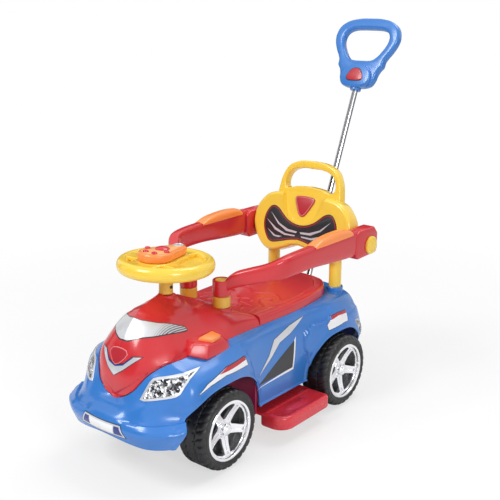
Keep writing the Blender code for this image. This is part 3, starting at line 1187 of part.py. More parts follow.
# footrests in their rails
def footrest_outline(inner_x, grow):
    """Plan of a footrest from an inner edge out to its two rounded outer corners."""
    outer, front, rear = FOOTREST_OUTER_X + grow, FOOTREST_FRONT_Y - grow, FOOTREST_REAR_Y + grow
    points = [(inner_x, front)]
    for radius, centre_y, start in ((FOOTREST_CORNER, front + FOOTREST_CORNER, -pi / 2),
                                    (FOOTREST_REAR_CORNER, rear - FOOTREST_REAR_CORNER, 0)):
        for k in range(5):
            a = start + pi / 2 * k / 4
            points.append((outer - radius + radius * cos(a), centre_y + radius * sin(a)))
    points.append((inner_x, rear))
    return points


footrest_low = FOOTREST_TOP_Z - FOOTREST_HEIGHT
ear_high = FOOTREST_TOP_Z - .0006
ear_low = ear_high - FOOTREST_EAR_THICK
for sign, word in ((1, "left"), (-1, "right")):
    axis = frame("footrest_" + word + "_slide", root, (sign * FOOTREST_PAD_X, (FOOTREST_FRONT_Y + FOOTREST_REAR_Y) / 2,
                                                      FOOTREST_TOP_Z))
    rest = prism("footrest_" + word, footrest_outline(FOOTREST_PAD_X - FOOTREST_WALL, 0), footrest_low,
                 FOOTREST_TOP_Z, RED)
    cut(rest, prism("tray", footrest_outline(FOOTREST_PAD_X - .02, -FOOTREST_WALL), footrest_low - .01,
                    FOOTREST_TOP_Z - FOOTREST_WALL - .001))
    ear_x = FOOTREST_INNER_X + FOOTREST_EAR_LONG
    plan = [(FOOTREST_INNER_X, FOOTREST_FRONT_Y - FOOTREST_EAR_WIDE), (ear_x, FOOTREST_FRONT_Y - FOOTREST_EAR_WIDE),
            (ear_x, FOOTREST_FRONT_Y), (FOOTREST_PAD_X + .006, FOOTREST_FRONT_Y + RUN_GAP),
            (FOOTREST_PAD_X + .006, FOOTREST_REAR_Y - RUN_GAP), (ear_x, FOOTREST_REAR_Y),
            (ear_x, FOOTREST_REAR_Y + FOOTREST_EAR_WIDE), (FOOTREST_INNER_X, FOOTREST_REAR_Y + FOOTREST_EAR_WIDE)]
    fuse(rest, prism("tongue", plan, ear_low, ear_high))
    if sign < 0:
        mirrored(rest)
    world_piece(rest, axis)

rail_top = TUB_FLOOR_Z - REST_GAP
groove_end = FOOTREST_INNER_X + FOOTREST_EAR_LONG + RUN_GAP
for word, near, away in (("front", FOOTREST_FRONT_Y - SHIFT_GAP, -1), ("rear", FOOTREST_REAR_Y + SHIFT_GAP, 1)):
    rail = box("footrest_rail_" + word, -RAIL_HALF_LENGTH, RAIL_HALF_LENGTH, *sorted((near, near + away * RAIL_WIDE)),
               rail_top - RAIL_HEIGHT, rail_top, CRIMSON)
    reach = FOOTREST_EAR_WIDE
    groove = box("groove", -groove_end, groove_end, *sorted((near - away * .01, near + away * reach)),
                 ear_low - RUN_GAP, ear_high + RUN_GAP)
    cut(rail, groove)
    put(rail, root)

# stand the car over the origin
bpy.context.view_layer.update()
corners = [obj.matrix_world @ v.co for obj in bpy.data.objects if obj.type == "MESH" for v in obj.data.vertices]
root.location = (-(min(p.x for p in corners) + max(p.x for p in corners)) / 2,
                 -(min(p.y for p in corners) + max(p.y for p in corners)) / 2,
                 -min(p.z for p in corners))
bpy.context.view_layer.update()
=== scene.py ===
"""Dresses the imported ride-on push car: fine body skins, wheels, arms, stickers and moulded finishes.

Shapes are written in millimetres in the car's own frame, with the front axle at Y = 0 and the ground at Z = 0,
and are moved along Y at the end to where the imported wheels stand.
"""

from math import asin, atan, atan2, cos, hypot, pi, radians, sin

import bpy
from mathutils import Matrix, Vector


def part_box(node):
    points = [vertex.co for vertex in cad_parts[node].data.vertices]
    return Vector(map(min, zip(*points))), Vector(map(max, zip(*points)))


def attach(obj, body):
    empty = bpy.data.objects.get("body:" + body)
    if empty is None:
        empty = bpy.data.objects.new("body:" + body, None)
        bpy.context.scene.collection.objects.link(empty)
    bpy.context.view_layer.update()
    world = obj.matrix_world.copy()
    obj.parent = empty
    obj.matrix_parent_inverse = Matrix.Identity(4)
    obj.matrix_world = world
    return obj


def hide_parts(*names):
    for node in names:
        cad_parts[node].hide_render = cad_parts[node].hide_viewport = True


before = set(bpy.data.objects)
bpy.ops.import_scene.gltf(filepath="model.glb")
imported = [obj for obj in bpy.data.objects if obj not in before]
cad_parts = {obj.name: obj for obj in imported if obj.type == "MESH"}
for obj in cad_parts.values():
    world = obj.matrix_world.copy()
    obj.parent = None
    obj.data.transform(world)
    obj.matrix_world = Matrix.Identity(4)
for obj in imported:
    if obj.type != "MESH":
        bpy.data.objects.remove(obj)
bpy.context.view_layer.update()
MM = 0.001
tyre_low, tyre_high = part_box("front_left_tyre")
AXLE_Y = (tyre_low.y + tyre_high.y) / 2
replaced = set()


# ---------------- finishes
def nodes_of(name):
    """A new material, its nodes, its shader and the place on the piece."""
    mat = bpy.data.materials.new(name)
    mat.use_nodes = True
    tree = mat.node_tree
    shader = tree.nodes["Principled BSDF"]
    where = tree.nodes.new("ShaderNodeTexCoord").outputs["Object"]
    return mat, tree, shader, where


def plug(tree, node, sockets):
    """Set a node's sockets, each to a value or to what another node gives."""
    for socket, value in sockets.items():
        if isinstance(value, bpy.types.NodeSocket):
            tree.links.new(value, node.inputs[socket])
        else:
            node.inputs[socket].default_value = value
    return node


def added(tree, kind, sockets, operation=None):
    node = tree.nodes.new(kind)
    if operation:
        node.operation = operation
    return plug(tree, node, sockets)


def noise(tree, where, scale, detail=2.0):
    return added(tree, "ShaderNodeTexNoise", {"Scale": scale, "Detail": detail, "Vector": where}).outputs["Fac"]


def ramp(tree, value, stops):
    node = tree.nodes.new("ShaderNodeValToRGB")
    node.color_ramp.elements[0].position = stops[0][0]
    node.color_ramp.elements[0].color = (*stops[0][1], 1)
    node.color_ramp.elements[1].position = stops[-1][0]
    node.color_ramp.elements[1].color = (*stops[-1][1], 1)
    for place, colour in stops[1:-1]:
        node.color_ramp.elements.new(place).color = (*colour, 1)
    tree.links.new(value, node.inputs["Fac"])
    return node.outputs["Color"]


def spread(tree, value, low, high, first=0.3, last=0.7):
    """A value between first and last, stretched to run from low to high."""
    sockets = {"From Min": first, "From Max": last, "To Min": low, "To Max": high, "Value": value}
    return added(tree, "ShaderNodeMapRange", sockets).outputs["Result"]


def relief(tree, shader, value, depth, strength=1.0):
    node = added(tree, "ShaderNodeBump", {"Distance": depth, "Strength": strength, "Height": value})
    tree.links.new(node.outputs["Normal"], shader.inputs["Normal"])


def moulded(name, colour, rough, metallic=0.0, coat=0.2, grain=0.00001, cloud=0.02, scale=1500):
    """Moulded plastic or metal: a slightly clouded colour, a fine grain and an uneven gloss."""
    mat, tree, shader, where = nodes_of(name)
    dark = tuple(c * (1 - cloud) for c in colour)
    light = tuple(min(c * (1 + cloud), 1) for c in colour)
    plug(tree, shader, {"Base Color": ramp(tree, noise(tree, where, 22, 3), [(0.3, dark), (0.7, light)]),
                        "Roughness": spread(tree, noise(tree, where, 60, 4), rough * 0.92, rough * 1.1),
                        "Metallic": metallic, "Coat Weight": coat, "Coat Roughness": 0.06})
    relief(tree, shader, noise(tree, where, scale, 2), grain)
    return mat


BLUE = moulded("blue moulding", (0.036, 0.19, 0.57), 0.24)
RED = moulded("red moulding", (0.60, 0.024, 0.032), 0.24)
FOOT_RED = moulded("footrest red", (0.70, 0.030, 0.045), 0.26, grain=0.00004, scale=900)
YELLOW = moulded("yellow moulding", (0.90, 0.60, 0.06), 0.24)
AMBER = moulded("amber moulding", (0.74, 0.44, 0.055), 0.34)
ORANGE = moulded("orange moulding", (0.95, 0.28, 0.062), 0.30)
# painted highlight: a paler orange for the console's flat top, where the light falls
ORANGE_PAINTED_HIGHLIGHT = moulded("orange with painted highlight", (0.96, 0.44, 0.17), 0.36)
CRIMSON = moulded("crimson moulding", (0.33, 0.012, 0.075), 0.42)
BLACK = moulded("black moulding", (0.012, 0.012, 0.014), 0.45, coat=0.0, cloud=0.2)
SILVER = moulded("silver film", (0.66, 0.68, 0.71), 0.30, 0.35)
WHITE = moulded("white film", (0.86, 0.86, 0.87), 0.32)
INK = moulded("dark film", (0.016, 0.016, 0.020), 0.35, cloud=0.2)
BLUE_INK = moulded("blue film", (0.022, 0.035, 0.22), 0.35)
RED_INK = moulded("red film", (0.46, 0.018, 0.03), 0.32)
PALE_RED = moulded("pale red film", (0.78, 0.25, 0.25), 0.35)
CHROME = moulded("bright plating", (0.86, 0.87, 0.89), 0.07, 1.0, coat=0.0, grain=0.000004, cloud=0.02)
RIM = moulded("rim plating", (0.88, 0.88, 0.90), 0.10, 0.92, coat=0.0, grain=0.000006, cloud=0.02)
STEEL = moulded("plain steel", (0.42, 0.43, 0.45), 0.34, 1.0, cloud=0.1)


def rubber():
    mat, tree, shader, where = nodes_of("tyre rubber")
    shades = [(0.3, (0.006, 0.006, 0.007)), (0.75, (0.015, 0.015, 0.016))]
    plug(tree, shader, {"Base Color": ramp(tree, noise(tree, where, 70, 5), shades),
                        "Roughness": spread(tree, noise(tree, where, 180, 3), 0.32, 0.5)})
    relief(tree, shader, noise(tree, where, 800, 3), 0.00008)
    return mat


def reflector():
    """Faceted lamp bowl: grey cells with dark and bright ones."""
    mat, tree, shader, where = nodes_of("lamp facets")
    cells = added(tree, "ShaderNodeTexVoronoi", {"Scale": 230, "Vector": where})
    split = added(tree, "ShaderNodeSeparateColor", {"Color": cells.outputs["Color"]})
    shades = [(0.2, (0.02, 0.02, 0.025)), (0.42, (0.16, 0.16, 0.18)), (0.62, (0.34, 0.35, 0.37)),
              (0.85, (0.85, 0.86, 0.88))]
    plug(tree, shader, {"Base Color": ramp(tree, split.outputs["Red"], shades), "Roughness": 0.12, "Metallic": 0.5})
    relief(tree, shader, cells.outputs["Distance"], 0.002, 0.8)
    return mat


def hatched():
    """Silver film that fades into fine dark hatching towards its ends."""
    mat, tree, shader, where = nodes_of("hatched silver film")
    wave = added(tree, "ShaderNodeTexWave", {"Scale": 110, "Distortion": 0.0, "Vector": where})
    wave.bands_direction = "X"
    parts = added(tree, "ShaderNodeSeparateXYZ", {"Vector": where})
    size = added(tree, "ShaderNodeMath", {0: parts.outputs["X"]}, "ABSOLUTE")
    far = spread(tree, size.outputs["Value"], 0.0, 0.7, 0.046, 0.064)
    mix = added(tree, "ShaderNodeMath", {0: wave.outputs["Fac"], 1: far}, "MULTIPLY")
    shades = [(0.0, (0.66, 0.68, 0.71)), (0.5, (0.12, 0.12, 0.13))]
    plug(tree, shader, {"Base Color": ramp(tree, mix.outputs["Value"], shades), "Metallic": 0.3,
                        "Roughness": spread(tree, noise(tree, where, 60, 3), 0.26, 0.4)})
    relief(tree, shader, noise(tree, where, 900, 2), 0.00004)
    return mat


TUBE_RADIUS = 0.0066


def chrome_with_painted_reflections():
    """Bright plating on the tube, with painted reflections: dark streaks along its length and greyer sides, set in
    the colour by the material itself.
    """
    mat, tree, shader, where = nodes_of("plated tube with painted reflections")
    parts = added(tree, "ShaderNodeSeparateXYZ", {"Vector": where})
    across = spread(tree, parts.outputs["X"], 0, 1, -TUBE_RADIUS, TUBE_RADIUS)
    plated = (0.86, 0.87, 0.89)
    # painted reflections: a dark streak along the tube a little past its middle in X, and greyer far left and right
    # sides
    shades = [(0.0, (0.5, 0.5, 0.52)), (0.1, plated), (0.38, plated), (0.44, (0.03, 0.03, 0.035)),
              (0.7, (0.05, 0.05, 0.055)), (0.77, plated), (0.93, plated), (1.0, (0.2, 0.2, 0.21))]
    plug(tree, shader, {"Base Color": ramp(tree, across, shades), "Metallic": 1.0,
                        "Roughness": spread(tree, noise(tree, where, 60, 3), 0.08, 0.12)})
    relief(tree, shader, noise(tree, where, 1500, 2), 0.000004)
    return mat


TUBE_WITH_PAINTED_REFLECTIONS = chrome_with_painted_reflections()
TYRE = rubber()
FACETS = reflector()
HATCHED = hatched()


# ---------------- bench work
def deselect():
    if bpy.context.object and bpy.context.object.mode != "OBJECT":
        bpy.ops.object.mode_set(mode="OBJECT")
    bpy.ops.object.select_all(action="DESELECT")


def pick(obj):
    deselect()
    obj.select_set(True)
    bpy.context.view_layer.objects.active = obj
    return obj


def keep_modifiers(obj):
    pick(obj)
    for mod in list(obj.modifiers):
        bpy.ops.object.modifier_apply(modifier=mod.name)
    return obj


def in_edit(obj, *steps):
    """Take each step on the whole mesh in edit mode."""
    pick(obj)
    bpy.ops.object.mode_set(mode="EDIT")
    bpy.ops.mesh.select_all(action="SELECT")
    for step in steps:
        step()
    bpy.ops.object.mode_set(mode="OBJECT")
    return obj


def outwards():
    bpy.ops.mesh.normals_make_consistent(inside=False)


def tidy_faces(obj, merge=0.01):
    """Merge doubles and turn every face outwards."""
    return in_edit(obj, lambda: bpy.ops.mesh.remove_doubles(threshold=merge * MM), outwards)


def turn_to(obj, matrix):
    obj.data.transform(matrix)
    obj.data.update()
    return obj


def at(x, y, z):
    """A shift in millimetres."""
    return Matrix.Translation((x * MM, y * MM, z * MM))


def copy_of(obj, name):
    other = bpy.data.objects.new(name, obj.data.copy())
    bpy.context.scene.collection.objects.link(other)
    return other


def handed(obj, sign):
    """The piece itself on the left, and its mirror image on the right."""
    if sign < 0:
        turn_to(obj, Matrix.Scale(-1, 4, (1, 0, 0)))
        obj.data.flip_normals()
    return obj


def twin(obj, name):
    """A mirrored copy for the right side."""
    return handed(copy_of(obj, name), -1)


def closed(obj):
    """Cap the open ends."""
    return in_edit(obj, lambda: bpy.ops.mesh.fill_holes(sides=0), outwards)


def combine(obj, operation, *tools):
    """Apply one exact Boolean per tool, in order, and remove the tools."""
    for tool in tools:
        mod = obj.modifiers.new(tool.name, "BOOLEAN")
        mod.operation = operation
        mod.solver = "EXACT"
        mod.object = tool
    keep_modifiers(obj)
    for tool in tools:
        bpy.data.objects.remove(tool, do_unlink=True)
    return obj


def join(obj, *others):
    pick(obj)
    for other in others:
        other.select_set(True)
    bpy.ops.object.join()
    return obj


def modified(obj, kind, **settings):
    """Give a piece a modifier with its settings, and apply it."""
    mod = obj.modifiers.new(kind.lower(), kind)
    for word, value in settings.items():
        setattr(mod, word, value)
    return keep_modifiers(obj)


def bevelled(obj, width, segments=3, angle=35):
    return modified(obj, "BEVEL", width=width * MM, segments=segments, limit_method="ANGLE",
                    angle_limit=radians(angle), harden_normals=False)


def mirrored(obj):
    return modified(obj, "MIRROR", use_clip=True, merge_threshold=0.0002)


def walled(obj, wall, side=-1):
    """Give a surface a thickness, inwards or, with side 1, outwards."""
    return modified(obj, "SOLIDIFY", thickness=wall * MM, offset=side)


def done(obj, body, mat, slot, *nodes, angle=40, shift=True):
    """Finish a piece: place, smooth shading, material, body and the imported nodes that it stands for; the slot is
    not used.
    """
    if shift:
        turn_to(obj, Matrix.Translation((0, AXLE_Y, 0)))
    pick(obj)
    bpy.ops.object.shade_smooth_by_angle(angle=radians(angle))
    obj.data.materials.clear()
    obj.data.materials.append(mat)
    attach(obj, body)
    if nodes:
        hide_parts(*nodes)
        replaced.update(nodes)
    return obj


def skin(name, columns, rows, place):
    """A grid whose points are set by place(column, row), in millimetres."""
    deselect()
    bpy.ops.mesh.primitive_grid_add(x_subdivisions=len(columns) - 1, y_subdivisions=len(rows) - 1, size=1)
    obj = bpy.context.object
    obj.name = name
    for v in obj.data.vertices:
        i = round((v.co.x + 0.5) * (len(columns) - 1))
        j = round((v.co.y + 0.5) * (len(rows) - 1))
        v.co = Vector(place(columns[i], rows[j])) * MM
    obj.data.update()
    return obj


def pressed(obj, field):
    """Move each point along its normal by field(x, y, z), all in millimetres."""
    normals = [v.normal.copy() for v in obj.data.vertices]
    for v, n in zip(obj.data.vertices, normals):
        v.co += n * field(*(v.co / MM)) * MM
    obj.data.update()
    return obj


def ring_of(name, points):
    """A closed loop of edges through the points, in millimetres."""
    deselect()
    bpy.ops.mesh.primitive_circle_add(vertices=len(points), radius=1, fill_type="NOTHING")
    obj = bpy.context.object
    obj.name = name
    for v, p in zip(obj.data.vertices, points):
        v.co = Vector(p) * MM
    return obj


def turned(name, profile, steps=64):
    """A closed profile of (radius, height) points spun round Z; a side that lies on the axis is left open."""
    obj = ring_of(name, [(r, 0, z) for r, z in profile])
    mesh = obj.data
    for edge in mesh.edges:
        edge.select = all(abs(mesh.vertices[k].co.x) < 1e-9 for k in edge.vertices)
    axis_side = any(edge.select for edge in mesh.edges)
    for v in mesh.vertices:
        v.select = False
    bpy.context.tool_settings.mesh_select_mode = (False, True, False)
    bpy.ops.object.mode_set(mode="EDIT")
    if axis_side:
        bpy.ops.mesh.delete(type="EDGE")
    bpy.context.tool_settings.mesh_select_mode = (True, False, False)
    bpy.ops.mesh.select_all(action="SELECT")
    bpy.ops.mesh.spin(steps=steps, angle=2 * pi, center=(0, 0, 0), axis=(0, 0, 1), use_auto_merge=True)
    bpy.ops.object.mode_set(mode="OBJECT")
    return tidy_faces(obj, 0.005)


def plate(name, outline, low, high, rounding=0.0, segments=3):
    """An outline in XY, extruded from low to high, with rounded rims."""
    rise = {"value": (0, 0, (high - low) * MM)}
    obj = in_edit(ring_of(name, [(x, y, low) for x, y in outline]), bpy.ops.mesh.edge_face_add,
                  lambda: bpy.ops.mesh.extrude_region_move(TRANSFORM_OT_translate=rise))
    tidy_faces(obj, 0.005)
    return bevelled(obj, rounding, segments) if rounding else obj


STAND_UP = Matrix.Rotation(pi / 2, 4, "X")


def facing(name, outline, front, back, rounding=0.0, segments=3):
    """An outline in XZ with its thickness along Y."""
    return turn_to(plate(name, outline, -back, -front, rounding, segments), STAND_UP)


def sideways(name, outline, near, far, rounding=0.0, segments=3):
    """An outline in YZ with its thickness along X."""
    swap = Matrix(((0, 0, 1, 0), (1, 0, 0, 0), (0, 1, 0, 0), (0, 0, 0, 1)))
    return turn_to(plate(name, outline, near, far, rounding, segments), swap)


def arc(cx, cz, radius, start, end, steps):
    return [(cx + radius * cos(radians(start + (end - start) * k / steps)),
             cz + radius * sin(radians(start + (end - start) * k / steps))) for k in range(steps + 1)]


def spline(points, t, across=False):
    """Catmull-Rom value at t, in steps of one per point; across starts square to the middle plane."""
    last = len(points) - 1
    i = min(int(t), last - 1)
    f = t - i
    a, b, c, d = (Vector(points[min(max(k, 0), last)]) for k in (i - 1, i, i + 1, i + 2))
    if i == 0:
        a = Vector((-c[0], *c[1:])) if across else 2 * b - c
    if i + 2 > last:
        d = 2 * c - b
    return 0.5 * (2 * b + (c - a) * f + (2 * a - 5 * b + 4 * c - d) * f ** 2 + (3 * b - a - 3 * c + d) * f ** 3)


def run_of(points, parts):
    last = (len(points) - 1) * parts
    return [spline(points, k / parts) for k in range(last + 1)]


def flat_run(points, parts):
    return [(p.x, p.y) for p in run_of(points, parts)]


def symmetric(half):
    return half + [(-x, y) for x, y in reversed(half) if abs(x) > 0.01]


def both_halves(points, parts):
    return symmetric(flat_run(points, parts))


def power(value, exponent):
    """A power that keeps the sign."""
    return abs(value) ** exponent * (1 if value >= 0 else -1)


def ease(value, low, high):
    f = min(max((value - low) / (high - low), 0), 1)
    return f * f * (3 - 2 * f)


def steps_between(first, last, size):
    """Even steps of about a size, from first up to but without last."""
    count = round((last - first) / size)
    return [first + (last - first) * k / count for k in range(count)]


def offset(points, distance):
    """A closed outline moved outwards by a distance, whichever way it runs."""
    area = sum(a[0] * b[1] - b[0] * a[1] for a, b in zip(points, points[1:] + points[:1]))
    sign = 1 if area > 0 else -1
    found = []
    for k in range(len(points)):
        a, b, c = (Vector(points[(k + d) % len(points)][:2]) for d in (-1, 0, 1))
        one, two = (b - a).normalized(), (c - b).normalized()
        normals = Vector((one.y, -one.x)) * sign, Vector((two.y, -two.x)) * sign
        mitre = (normals[0] + normals[1]).normalized()
        found.append(tuple(b + mitre * distance / max(mitre.dot(normals[0]), 0.45)))
    return found


# ---------------- body, hood and seat
DOWN = (0, 0, -1)
# Each section: seven points from the bottom edge up to the cover line, then the way into the groove and the
# way in which the cover leaves the line.
SECTIONS = [
    ([(0, -186, 104), (0, -191, 122), (0, -186, 140), (0, -170, 151), (0, -164, 157), (0, -159, 160),
      (0, -154, 163)], (0, 1, -.1), (0, .05, 1)),
    ([(66, -176, 95), (67, -185, 121), (66, -177, 138), (62, -167, 154), (61, -158, 165), (52, -152, 175),
      (41, -150, 181)], (0, 1, -.2), (-.4, .05, .9)),
    ([(104, -161, 91), (106, -173, 122), (104, -161, 138), (98, -143, 161), (100, -128, 184), (86, -124, 211),
      (66, -131, 214)], (-.1, .9, -.4), (-.6, .3, .7)),
    ([(133, -124, 89), (147, -137, 122), (137, -119, 139), (128, -112, 160), (126, -103, 186), (110, -92, 218),
      (83, -106, 230)], (-.2, .6, -.8), (-.7, .3, .6)),
    ([(140, -70, 88), (151, -84, 120), (148, -86, 141), (146, -83, 170), (139, -78, 196), (116, -75, 218),
      (94, -72, 235)], (-.2, .2, -1), (-.85, .2, .45)),
    ([(138, 0, 85), (146, 0, 110), (148, 0, 141), (147, 0, 170), (144, 0, 204), (123, 0, 226), (103, 0, 239)],
     DOWN, (-1, 0, .1)),
    ([(128, 60, 81), (138, 60, 108), (139, 60, 138), (139, 60, 166), (137, 58, 202), (123, 54, 228),
      (104, 52, 240)], DOWN, (-1, 0, .1)),
    ([(126, 110, 78), (128, 108, 105), (130, 106, 135), (130, 104, 162), (128, 102, 198), (121, 100, 230),
      (104, 98, 240)], DOWN, (-1, 0, 0)),
    ([(126, 147, 78), (127, 147, 105), (127, 147, 135), (126, 147, 162), (123, 147, 204), (118, 147, 229),
      (106, 147, 240)], DOWN, (-1, 0, 0)),
    ([(126, 215, 78), (127, 215, 105), (128, 215, 135), (127, 215, 162), (124, 215, 204), (118, 215, 229),
      (109, 215, 240)], DOWN, (-1, 0, 0)),
    ([(126, 285, 78), (128, 285, 105), (132, 285, 135), (134, 285, 158), (130, 285, 204), (120, 285, 229),
      (109, 285, 240)], DOWN, (-1, 0, 0)),
    ([(146, 375, 95), (150, 375, 115), (152, 375, 140), (152, 375, 166), (146, 375, 206), (128, 375, 232),
      (98, 375, 240)], DOWN, (-1, -.25, 0)),
    ([(127, 471, 100), (133, 476, 120), (137, 477, 141), (135, 473, 166), (129, 465, 200), (111, 455, 230),
      (68, 426, 240)], DOWN, (-.7, -.7, 0)),
    ([(66, 496, 100), (68, 501, 119), (69, 502, 141), (68, 499, 166), (64, 492, 200), (56, 481, 231),
      (36, 443, 240)], DOWN, (-.4, -.9, 0)),
    ([(0, 504, 100), (0, 508, 118), (0, 509, 140), (0, 507, 165), (0, 500, 200), (0, 488, 231), (0, 448, 240)],
     DOWN, (0, -1, 0)),
]
HOOD_SECTIONS = [
    [(0, -152, 164), (0, -152, 165), (0, -152, 166)],
    [(27, -152, 200), (13, -153, 207), (0, -153, 209)],
    [(52, -134, 234), (28, -137, 246), (0, -139, 248)],
    [(66, -105, 253), (36, -110, 278), (0, -111, 290)],
    [(79, -70, 258), (46, -70, 295), (0, -72, 318)],
    [(80, -6, 258), (43, -10, 295), (0, -16, 326.5)],
    [(84, 50, 258), (49, 50, 284), (0, 48, 304)],
    [(90, 98, 260), (56, 98, 278), (0, 98, 282)],
    [(97, 147, 255), (70, 147, 260.5), (0, 147, 261.5)],
]
SEAM, TAIL = 8, 14
GROOVE = 8.0
SEAT_FRONT, SEAT_TOP = 147.0, 260.0
HALF_SEAM, SKIRT = 0.7, 5.5
BODY_WALL, COVER_WALL = 3, 2.5
line_cache = {}


def lines_at(t):
    """The seven points of the body's side at t and its two directions."""
    if t not in line_cache:
        points = [spline([s[0][k] for s in SECTIONS], t, True) for k in range(7)]
        ways = [spline([s[k] for s in SECTIONS], t, True).normalized() for k in (1, 2)]
        line_cache[t] = (points, *ways)
    return line_cache[t]


def body_place(t, v):
    points, into, away = lines_at(t)
    if v <= 6:
        return spline(points, v)
    foot = points[6] + into * GROOVE * min(v - 6, 1)
    return foot + away * 12 * max(v - 7, 0)


def between(table, value):
    """Straight-line value of a table of (x, y) pairs."""
    for (a, p), (b, q) in zip(table, table[1:]):
        if value <= b:
            return p + (q - p) * max((value - a) / (b - a), 0)
    return table[-1][1]


WHEELBASE, WHEEL_RADIUS = 375, 80
# centre along Y and Z, half length and rise
FRONT_ARCH = (-4, WHEEL_RADIUS, 126, 98)
REAR_ARCH = (WHEELBASE, WHEEL_RADIUS, 89, 95)
ARCH_POWER = 2.35
DOOR_FRONT = [(78, 118), (110, 112), (144, 104), (176, 92), (208, 77), (229, 62), (240, 50)]
DOOR_REAR = [(78, 300), (130, 284), (160, 268), (178, 267), (192, 272), (200, 290), (205, 315), (208, 350)]


def outside_arch(arch, y, z):
    """Distance outside an arch's outline, roughly."""
    cy, cz, half, rise = arch
    dy, dz = y - cy, z - cz
    r = (abs(dy / half) ** ARCH_POWER + abs(dz / rise) ** ARCH_POWER) ** (1 / ARCH_POWER)
    return hypot(dy, dz) * (1 - 1 / max(r, 1e-6))


def body_relief(x, y, z):
    """Raised arch lips, the bumper's step, the sunk door and the raised rear fender."""
    rise = 0.0
    if abs(x) > 100:
        for arch in (FRONT_ARCH, REAR_ARCH):
            d = outside_arch(arch, y, z)
            if -4 < d < 12:
                rise += 1.6 * (1 - ease(d, 4.5, 7.5))
    if y < -60:
        step = 137 + 1.5 * ease(abs(x), 60, 140)
        rise -= 4.5 * ease(z, step - 1, step + 2) * (1 - ease(z, step + 6, step + 30)) * ease(abs(x), 30, 62)
        rise -= 1.6 * ease(abs(x), 136, 138.5) * ease(z, 96, 104) * (1 - ease(z, step - 4, step))
    if 40 < y < 350 and 78 < z < 236:
        front, rear = between(DOOR_FRONT, z), between(DOOR_REAR, z) if z < 208 else 400
        rise -= 3.6 * ease(y, front - .8, front + 2.4) * (1 - ease(y, rear - 2, rear + .8)) \
            * (1 - ease(z, 226, 232))
    if y > 260:
        brow = between([(272, 190), (300, 204), (340, 207), (430, 209), (470, 200)], y)
        rear = between(DOOR_REAR, z)
        rise += 1.8 * (1 - ease(z, brow - 1, brow + 1.5)) * ease(y, rear, rear + 2) * ease(z, 120, 150)
    return rise


def body_columns(first, last):
    """Columns from first to last, closer where the body bends."""
    spans = [(0, 6, .083), (6, 7.6, .04), (7.6, 9.6, .083), (9.6, 11.2, .03), (11.2, 14, .072)]
    found = []
    for a, b, size in spans:
        a, b = max(a, first), min(b, last)
        if a < b:
            found += steps_between(a, b, size)
    return found + [last]


body_rows = steps_between(0, 6, .14) + [6, 6.5, 7, 8]


def body_surface(name, first, last, rows=None):
    return pressed(skin(name, body_columns(first, last), rows or body_rows, body_place), body_relief)


def arch_plate(arch, count=96):
    cy, cz, half, rise = arch
    return [(cy + half * power(cos(2 * pi * k / count), 2 / ARCH_POWER),
             cz + rise * power(sin(2 * pi * k / count), 2 / ARCH_POWER)) for k in range(count)]


LEG_PLACE = (87, 442, 0)
POST_PLACE = (45, 99, 0)
PIVOT_PLACE = (0, 458, 352)
SIDES = ((1, "left"), (-1, "right"))

body = walled(mirrored(body_surface("body", 0, TAIL)), BODY_WALL)
cutters = []
for arch in (FRONT_ARCH, REAR_ARCH):
    one = sideways("arch", arch_plate(arch), 100, 220)
    cutters += [one, twin(one, "arch right")]
combine(body, "DIFFERENCE", *cutters)
collar = turned("collar", [(14.3, 224), (14.3, 244.5), (15.3, 246), (17.3, 246), (18.3, 244.5), (18.3, 220),
                           (0, 220), (0, 224)], 48)
turn_to(collar, at(*LEG_PLACE))
join(body, collar, twin(collar, "collar right"))
done(body, "car", BLUE, "blue", "body_shell", angle=32)


def cover_place(t, v):
    """The hood: 0 is the skirt's foot, 1 the edge, then three spans up to the ridge."""
    points, into, away = lines_at(t)
    edge = points[6] + away * HALF_SEAM
    if v <= 1:
        p = edge + into * SKIRT * (1 - v)
    else:
        p = spline([edge, *(spline([row[k] for row in HOOD_SECTIONS], t, True) for k in range(3))], v - 1)
    p.y = min(p.y, SEAT_FRONT - HALF_SEAM)
    return p


DECK = [(0, -88), (13, -83), (36, -66), (46, -40), (52, 4), (50, 8), (46, 22), (44, 60), (30, 82), (0, 90)]


def inside(outline, x, y):
    """Distance inside half of a convex outline."""
    return min((Vector((b[0] - a[0], b[1] - a[1])).normalized().cross(Vector((x - a[0], y - a[1]))))
               for a, b in zip(outline, outline[1:]))


def hood_relief(x, y, z):
    """The raised deck behind the sticker, the mound round the column and the bevel along the edge."""
    rise = 1.2 * ease(inside(DECK, abs(x), y), -0.6, 1.6)
    far = hypot(x, y + 13)
    rise += 3.0 * (1 - ease(far, 22, 27)) + 1.2 * (1 - ease(abs(far - 34), 2, 6))
    if y < 0:
        edge = between([(164, 0), (193, 42), (214, 66), (230, 83), (236, 96)], z)
        rise -= 1.8 * (1 - ease(edge - abs(x), 6, 9))
    return rise


hood_columns = steps_between(0, SEAM, .07) + [SEAM]
hood_rows = [0, 0.5] + steps_between(1, 4, .08) + [4]


def hood_surface(name, first=0, last=SEAM):
    columns = [t for t in hood_columns if first <= t <= last]
    return mirrored(pressed(skin(name, columns, hood_rows, cover_place), hood_relief))


